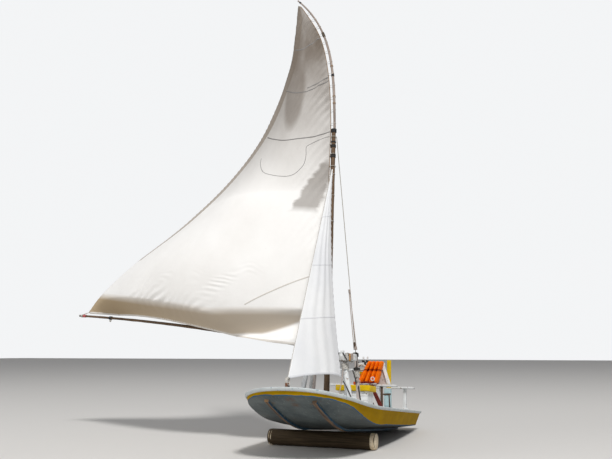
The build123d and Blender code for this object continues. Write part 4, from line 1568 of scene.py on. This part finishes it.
def jib_tapes():
    """Seams and hems of the jib."""
    bm = bmesh.new()
    for height in (0.24, 0.48, 0.72):
        seam = [(height + 0.02 * k / 40, 0.01 + 0.98 * k / 40) for k in range(41)]
        add_tape(bm, seam, 0.02, jib_point, 0.0014)
    add_tape(bm, [(0.02 + 0.94 * k / 120, 0.985) for k in range(121)], 0.028, jib_point, 0.0014)
    add_tape(bm, [(0.006, 0.01 + 0.98 * k / 60) for k in range(61)], 0.03, jib_point, 0.0014)
    return finish_mesh("jib_seams", bm, [JIB_SEAM])


jib = jib_piece()
jib_trim = jib_tapes()
luff_cord("jib_luff_rope", [jib_point(JIB_TOP * k / 30, 0.0) for k in range(31)], 0.005, WHITE_ROPE, "boat")

# Stay's doubled lower end and its block
stay_foot = Vector((-0.455, 0.336, 0.852))
stay_way = (Vector((MAST_X, 0, 4.47)) - stay_foot).normalized()


def stay_tackle():
    """Two parallel parts of rope and the turns at their ends."""
    bm = bmesh.new()
    for shift in (Vector((0.004, 0.021, 0)), Vector((0.008, -0.019, 0))):
        low, high = stay_foot + stay_way * 0.06 + shift, stay_foot + stay_way * 1.02 + shift * 0.3
        sweep(bm, spread(low, high, 20), circle(0.0068, 8))
    for reach, size in ((0.07, 0.026), (0.985, 0.014)):
        middle = stay_foot + stay_way * reach + Vector((0.005, 0.003, 0))
        add_turns(bm, middle, stay_way, size, 0.005, 5, 0.011)
    finish_mesh("stay_tackle", bm, [PALE_ROPE])


def stay_block():
    """Dark oval block in the tackle."""
    bm = bmesh.new()
    middle = stay_foot + stay_way * 0.115 + Vector((0.012, 0, 0))
    line = spread(middle - stay_way * 0.045, middle + stay_way * 0.045, 9)
    sweep(bm, line, rounded_box(0.03, 0.05, 0.01), 0, [0.55, 0.8, 0.95, 1, 1, 1, 0.95, 0.8, 0.55])
    finish_mesh("stay_block", bm, [DARK_WOOD])


stay_tackle()
stay_block()

# Vests: folded foam pads, swollen by a short cloth simulation
VEST_ROWS = 44
VEST_AROUND = 56
WAIST = 0.585


def vest_shape(share):
    """Relative width of a folded vest at a share of its height."""
    low = max(1 - abs(2 * share / WAIST - 1) ** 5, 0) ** 0.2 if share < WAIST else 0
    u = (share - WAIST) / (1 - WAIST)
    high = max(1 - abs(2 * u - 1) ** 4, 0) ** 0.25 if u > 0 else 0
    return max(low, high, 0.62 if 0.1 < share < 0.9 else 0.35)


def vest_start(number):
    """Rows of points for one folded vest before it swells."""
    foot = Vector((-1.854, 0.030 + 0.085 * number if number else 0.003, 0.447))
    head = Vector((-1.854, 0.190 + 0.070 * number, 0.837))
    outline = []
    for k in range(VEST_AROUND):
        angle = 2 * math.pi * k / VEST_AROUND
        c, t = math.cos(angle), math.sin(angle)
        reach = (abs(c) ** 5 + abs(t) ** 5) ** -0.2
        outline.append((reach * c, reach * t))
    rows = []
    flare = 0.0 if number else 0.025
    for i in range(VEST_ROWS + 1):
        share = i / VEST_ROWS
        grow = vest_shape(share)
        middle = foot.lerp(head, share)
        deep = 0.104 * (0.55 + 0.45 * grow) * (1 - 0.12 * share)
        row = []
        for c, t in outline:
            lean = noise.noise(Vector((share * 3, number * 2.3, t))) * 0.004
            row.append(middle + Vector((deep * c, (0.0265 + flare * (1 - share)) * grow * t + lean, 0)))
        rows.append(row)
    return rows


def swell(piece, waist, cap_move):
    """Inflate a closed mesh a little, with some of its points held, and keep the result."""
    still = [v.co.copy() for v in piece.data.vertices]
    held = piece.vertex_groups.new(name="held")
    held.add(waist, 1.0, "REPLACE")
    cloth = piece.modifiers.new("swell", "CLOTH")
    cloth.settings.quality = 4
    cloth.settings.use_pressure = True
    cloth.settings.uniform_pressure_force = 4
    cloth.settings.tension_stiffness = 12
    cloth.settings.bending_stiffness = 0.4
    cloth.settings.effector_weights.gravity = 0
    cloth.settings.vertex_group_mass = "held"
    scene = bpy.context.scene
    for number in range(1, 21):
        scene.frame_set(number)
    shaped = piece.evaluated_get(bpy.context.evaluated_depsgraph_get())
    moved = [v.co.copy() for v in shaped.data.vertices]
    piece.modifiers.remove(cloth)
    scene.frame_set(1)
    for vert, before, after in zip(piece.data.vertices, still, moved):
        shift = after - before
        if shift.length > cap_move:
            shift *= cap_move / shift.length
        vert.co = before + shift
    piece.data.update()


def vest_trim(number, piece, rows, waist):
    """Belt at a vest's waist and the piping along its edges."""
    back = STANCE.inverted()

    def ring_at(row, out):
        points = [back @ piece.data.vertices[row * VEST_AROUND + k].co for k in range(VEST_AROUND)]
        middle = sum(points, Vector()) / VEST_AROUND
        return [p + (p - middle).normalized() * out for p in points]

    bm = bmesh.new()
    for step in (waist - 2, waist + 1):
        ring = ring_at(step, 0.0015)
        sweep(bm, ring + ring[:2], circle(0.0022, 6))
    belt = [ring_at(waist + k, 0.0022) for k in (-1, 0, 1)]
    uvs = [[(k * 0.01, 0.01 * i) for k in range(VEST_AROUND)] for i in range(len(belt))]
    add_grid(bm, belt, 1, uvs, closed=True)
    for corner in (5, 23, 33, 51):
        line = []
        for row in range(3, VEST_ROWS - 2):
            point = back @ piece.data.vertices[row * VEST_AROUND + corner].co
            centre = rows[row][0].lerp(rows[row][VEST_AROUND // 2], 0.5)
            line.append(point + (point - centre).normalized() * 0.001)
        sweep(bm, line, circle(0.0021, 6))
    finish_mesh(f"vest_trim_{number}", bm, [ORANGE_DARK, STRAP])


def vest_piece(number):
    """One folded vest."""
    rows = vest_start(number)
    bm = bmesh.new()
    uvs = [[(p.x + p.y, p.z) for p in row] for row in rows]
    cap_ends(bm, add_grid(bm, rows, 0, uvs, closed=True))
    piece = finish_mesh(f"vest_{number + 1}", bm, [ORANGE], [f"life_vest_{number + 1}"])
    waist = round(WAIST * VEST_ROWS)
    low = (waist - 1) * VEST_AROUND
    swell(piece, list(range(low, low + 3 * VEST_AROUND)), 0.0075)
    smooth = piece.modifiers.new("round", "SUBSURF")
    smooth.levels = smooth.render_levels = 1
    vest_trim(number + 1, piece, rows, waist)


def vest_fittings():
    """White ring and three straps on the nearest vest's front; the dark straps are partly painted shade
    below the vests.
    """
    bm = bmesh.new()
    ring = []
    for k in range(26):
        angle = k * math.pi / 12
        ring.append(Vector((-1.728, 0.262 + 0.03 * math.cos(angle), 0.52 + 0.03 * math.sin(angle))))
    sweep(bm, ring, circle(0.0085, 8))
    finish_mesh("vest_ring", bm, [RING_WHITE])
    bm = bmesh.new()
    for y, z, tilt in ((0.09, 0.452, 0.05), (0.16, 0.455, -0.08), (0.25, 0.452, 0.1)):
        strap = spread((-1.733, y - 0.045, z - tilt * 0.09), (-1.733, y + 0.045, z + tilt * 0.09), 8)
        sweep(bm, strap, rounded_box(0.004, 0.03, 0.0015, 1), up=UP)
    finish_mesh("vest_straps", bm, [STRAP])


for number in range(4):
    vest_piece(number)
vest_fittings()

# Kept solids and their finishes
for node, material in (
    ("mast_step", WHITE),
    ("deck_box", WHITE),
    ("box_hinge", WHITE),
    ("stay_port", WHITE_ROPE),
    ("stay_collar", WHITE_ROPE),
    ("jib_head_ring", WHITE_ROPE),
    ("bow_eye", RUST),
):
    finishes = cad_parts[node].data.materials
    if finishes:
        finishes[0] = material
    else:
        finishes.append(material)


# Floor and light
def floor_piece(size=120, tone=(0.66, 0.64, 0.61)):
    """Pale matt floor."""
    bm = bmesh.new()
    bmesh.ops.create_grid(bm, x_segments=1, y_segments=1, size=size)
    mesh = bpy.data.meshes.new("floor")
    bm.to_mesh(mesh)
    bm.free()
    floor = bpy.data.objects.new("floor", mesh)
    bpy.context.collection.objects.link(floor)
    material = bpy.data.materials.new("floor")
    material.use_nodes = True
    shader = material.node_tree.nodes["Principled BSDF"]
    shader.inputs["Base Color"].default_value = (*tone, 1)
    shader.inputs["Roughness"].default_value = 0.9
    mesh.materials.append(material)
    floor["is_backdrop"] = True


def area_light(name, place, size, power):
    """Soft square lamp aimed at the boat."""
    data = bpy.data.lights.new(name, "AREA")
    data.size = size
    data.energy = power
    lamp = bpy.data.objects.new(name, data)
    bpy.context.collection.objects.link(lamp)
    lamp.location = place
    lamp.rotation_mode = "QUATERNION"
    lamp.rotation_quaternion = (Vector((0, 0, 3)) - Vector(place)).to_track_quat("-Z", "Y")


def sky():
    """Soft light from all round, with a paler backdrop for the camera and for shine."""
    world = bpy.data.worlds.new("world")
    bpy.context.scene.world = world
    world.use_nodes = True
    tree = world.node_tree
    background = tree.nodes["Background"]
    background.inputs["Color"].default_value = (0.93, 0.95, 1, 1)
    background.inputs["Strength"].default_value = 0.27
    backdrop = tree.nodes.new("ShaderNodeBackground")
    backdrop.inputs["Color"].default_value = (0.9, 0.91, 0.92, 1)
    backdrop.inputs["Strength"].default_value = 1.0
    rays = tree.nodes.new("ShaderNodeLightPath")
    pick = tree.nodes.new("ShaderNodeMixShader")
    seen = tree.nodes.new("ShaderNodeMath")
    seen.operation = "MAXIMUM"
    tree.links.new(rays.outputs["Is Camera Ray"], seen.inputs[0])
    tree.links.new(rays.outputs["Is Glossy Ray"], seen.inputs[1])
    tree.links.new(seen.outputs[0], pick.inputs[0])
    tree.links.new(background.outputs[0], pick.inputs[1])
    tree.links.new(backdrop.outputs[0], pick.inputs[2])
    tree.links.new(pick.outputs[0], tree.nodes["World Output"].inputs[0])


floor_piece()
area_light("key", (26, 20, 42), 8, 20600)
area_light("side", (24, -26, 16), 14, 2400)
area_light("fill", (28, 4, 12), 14, 700)
sky()
bpy.context.scene.view_settings.view_transform = "Standard"

low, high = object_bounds()
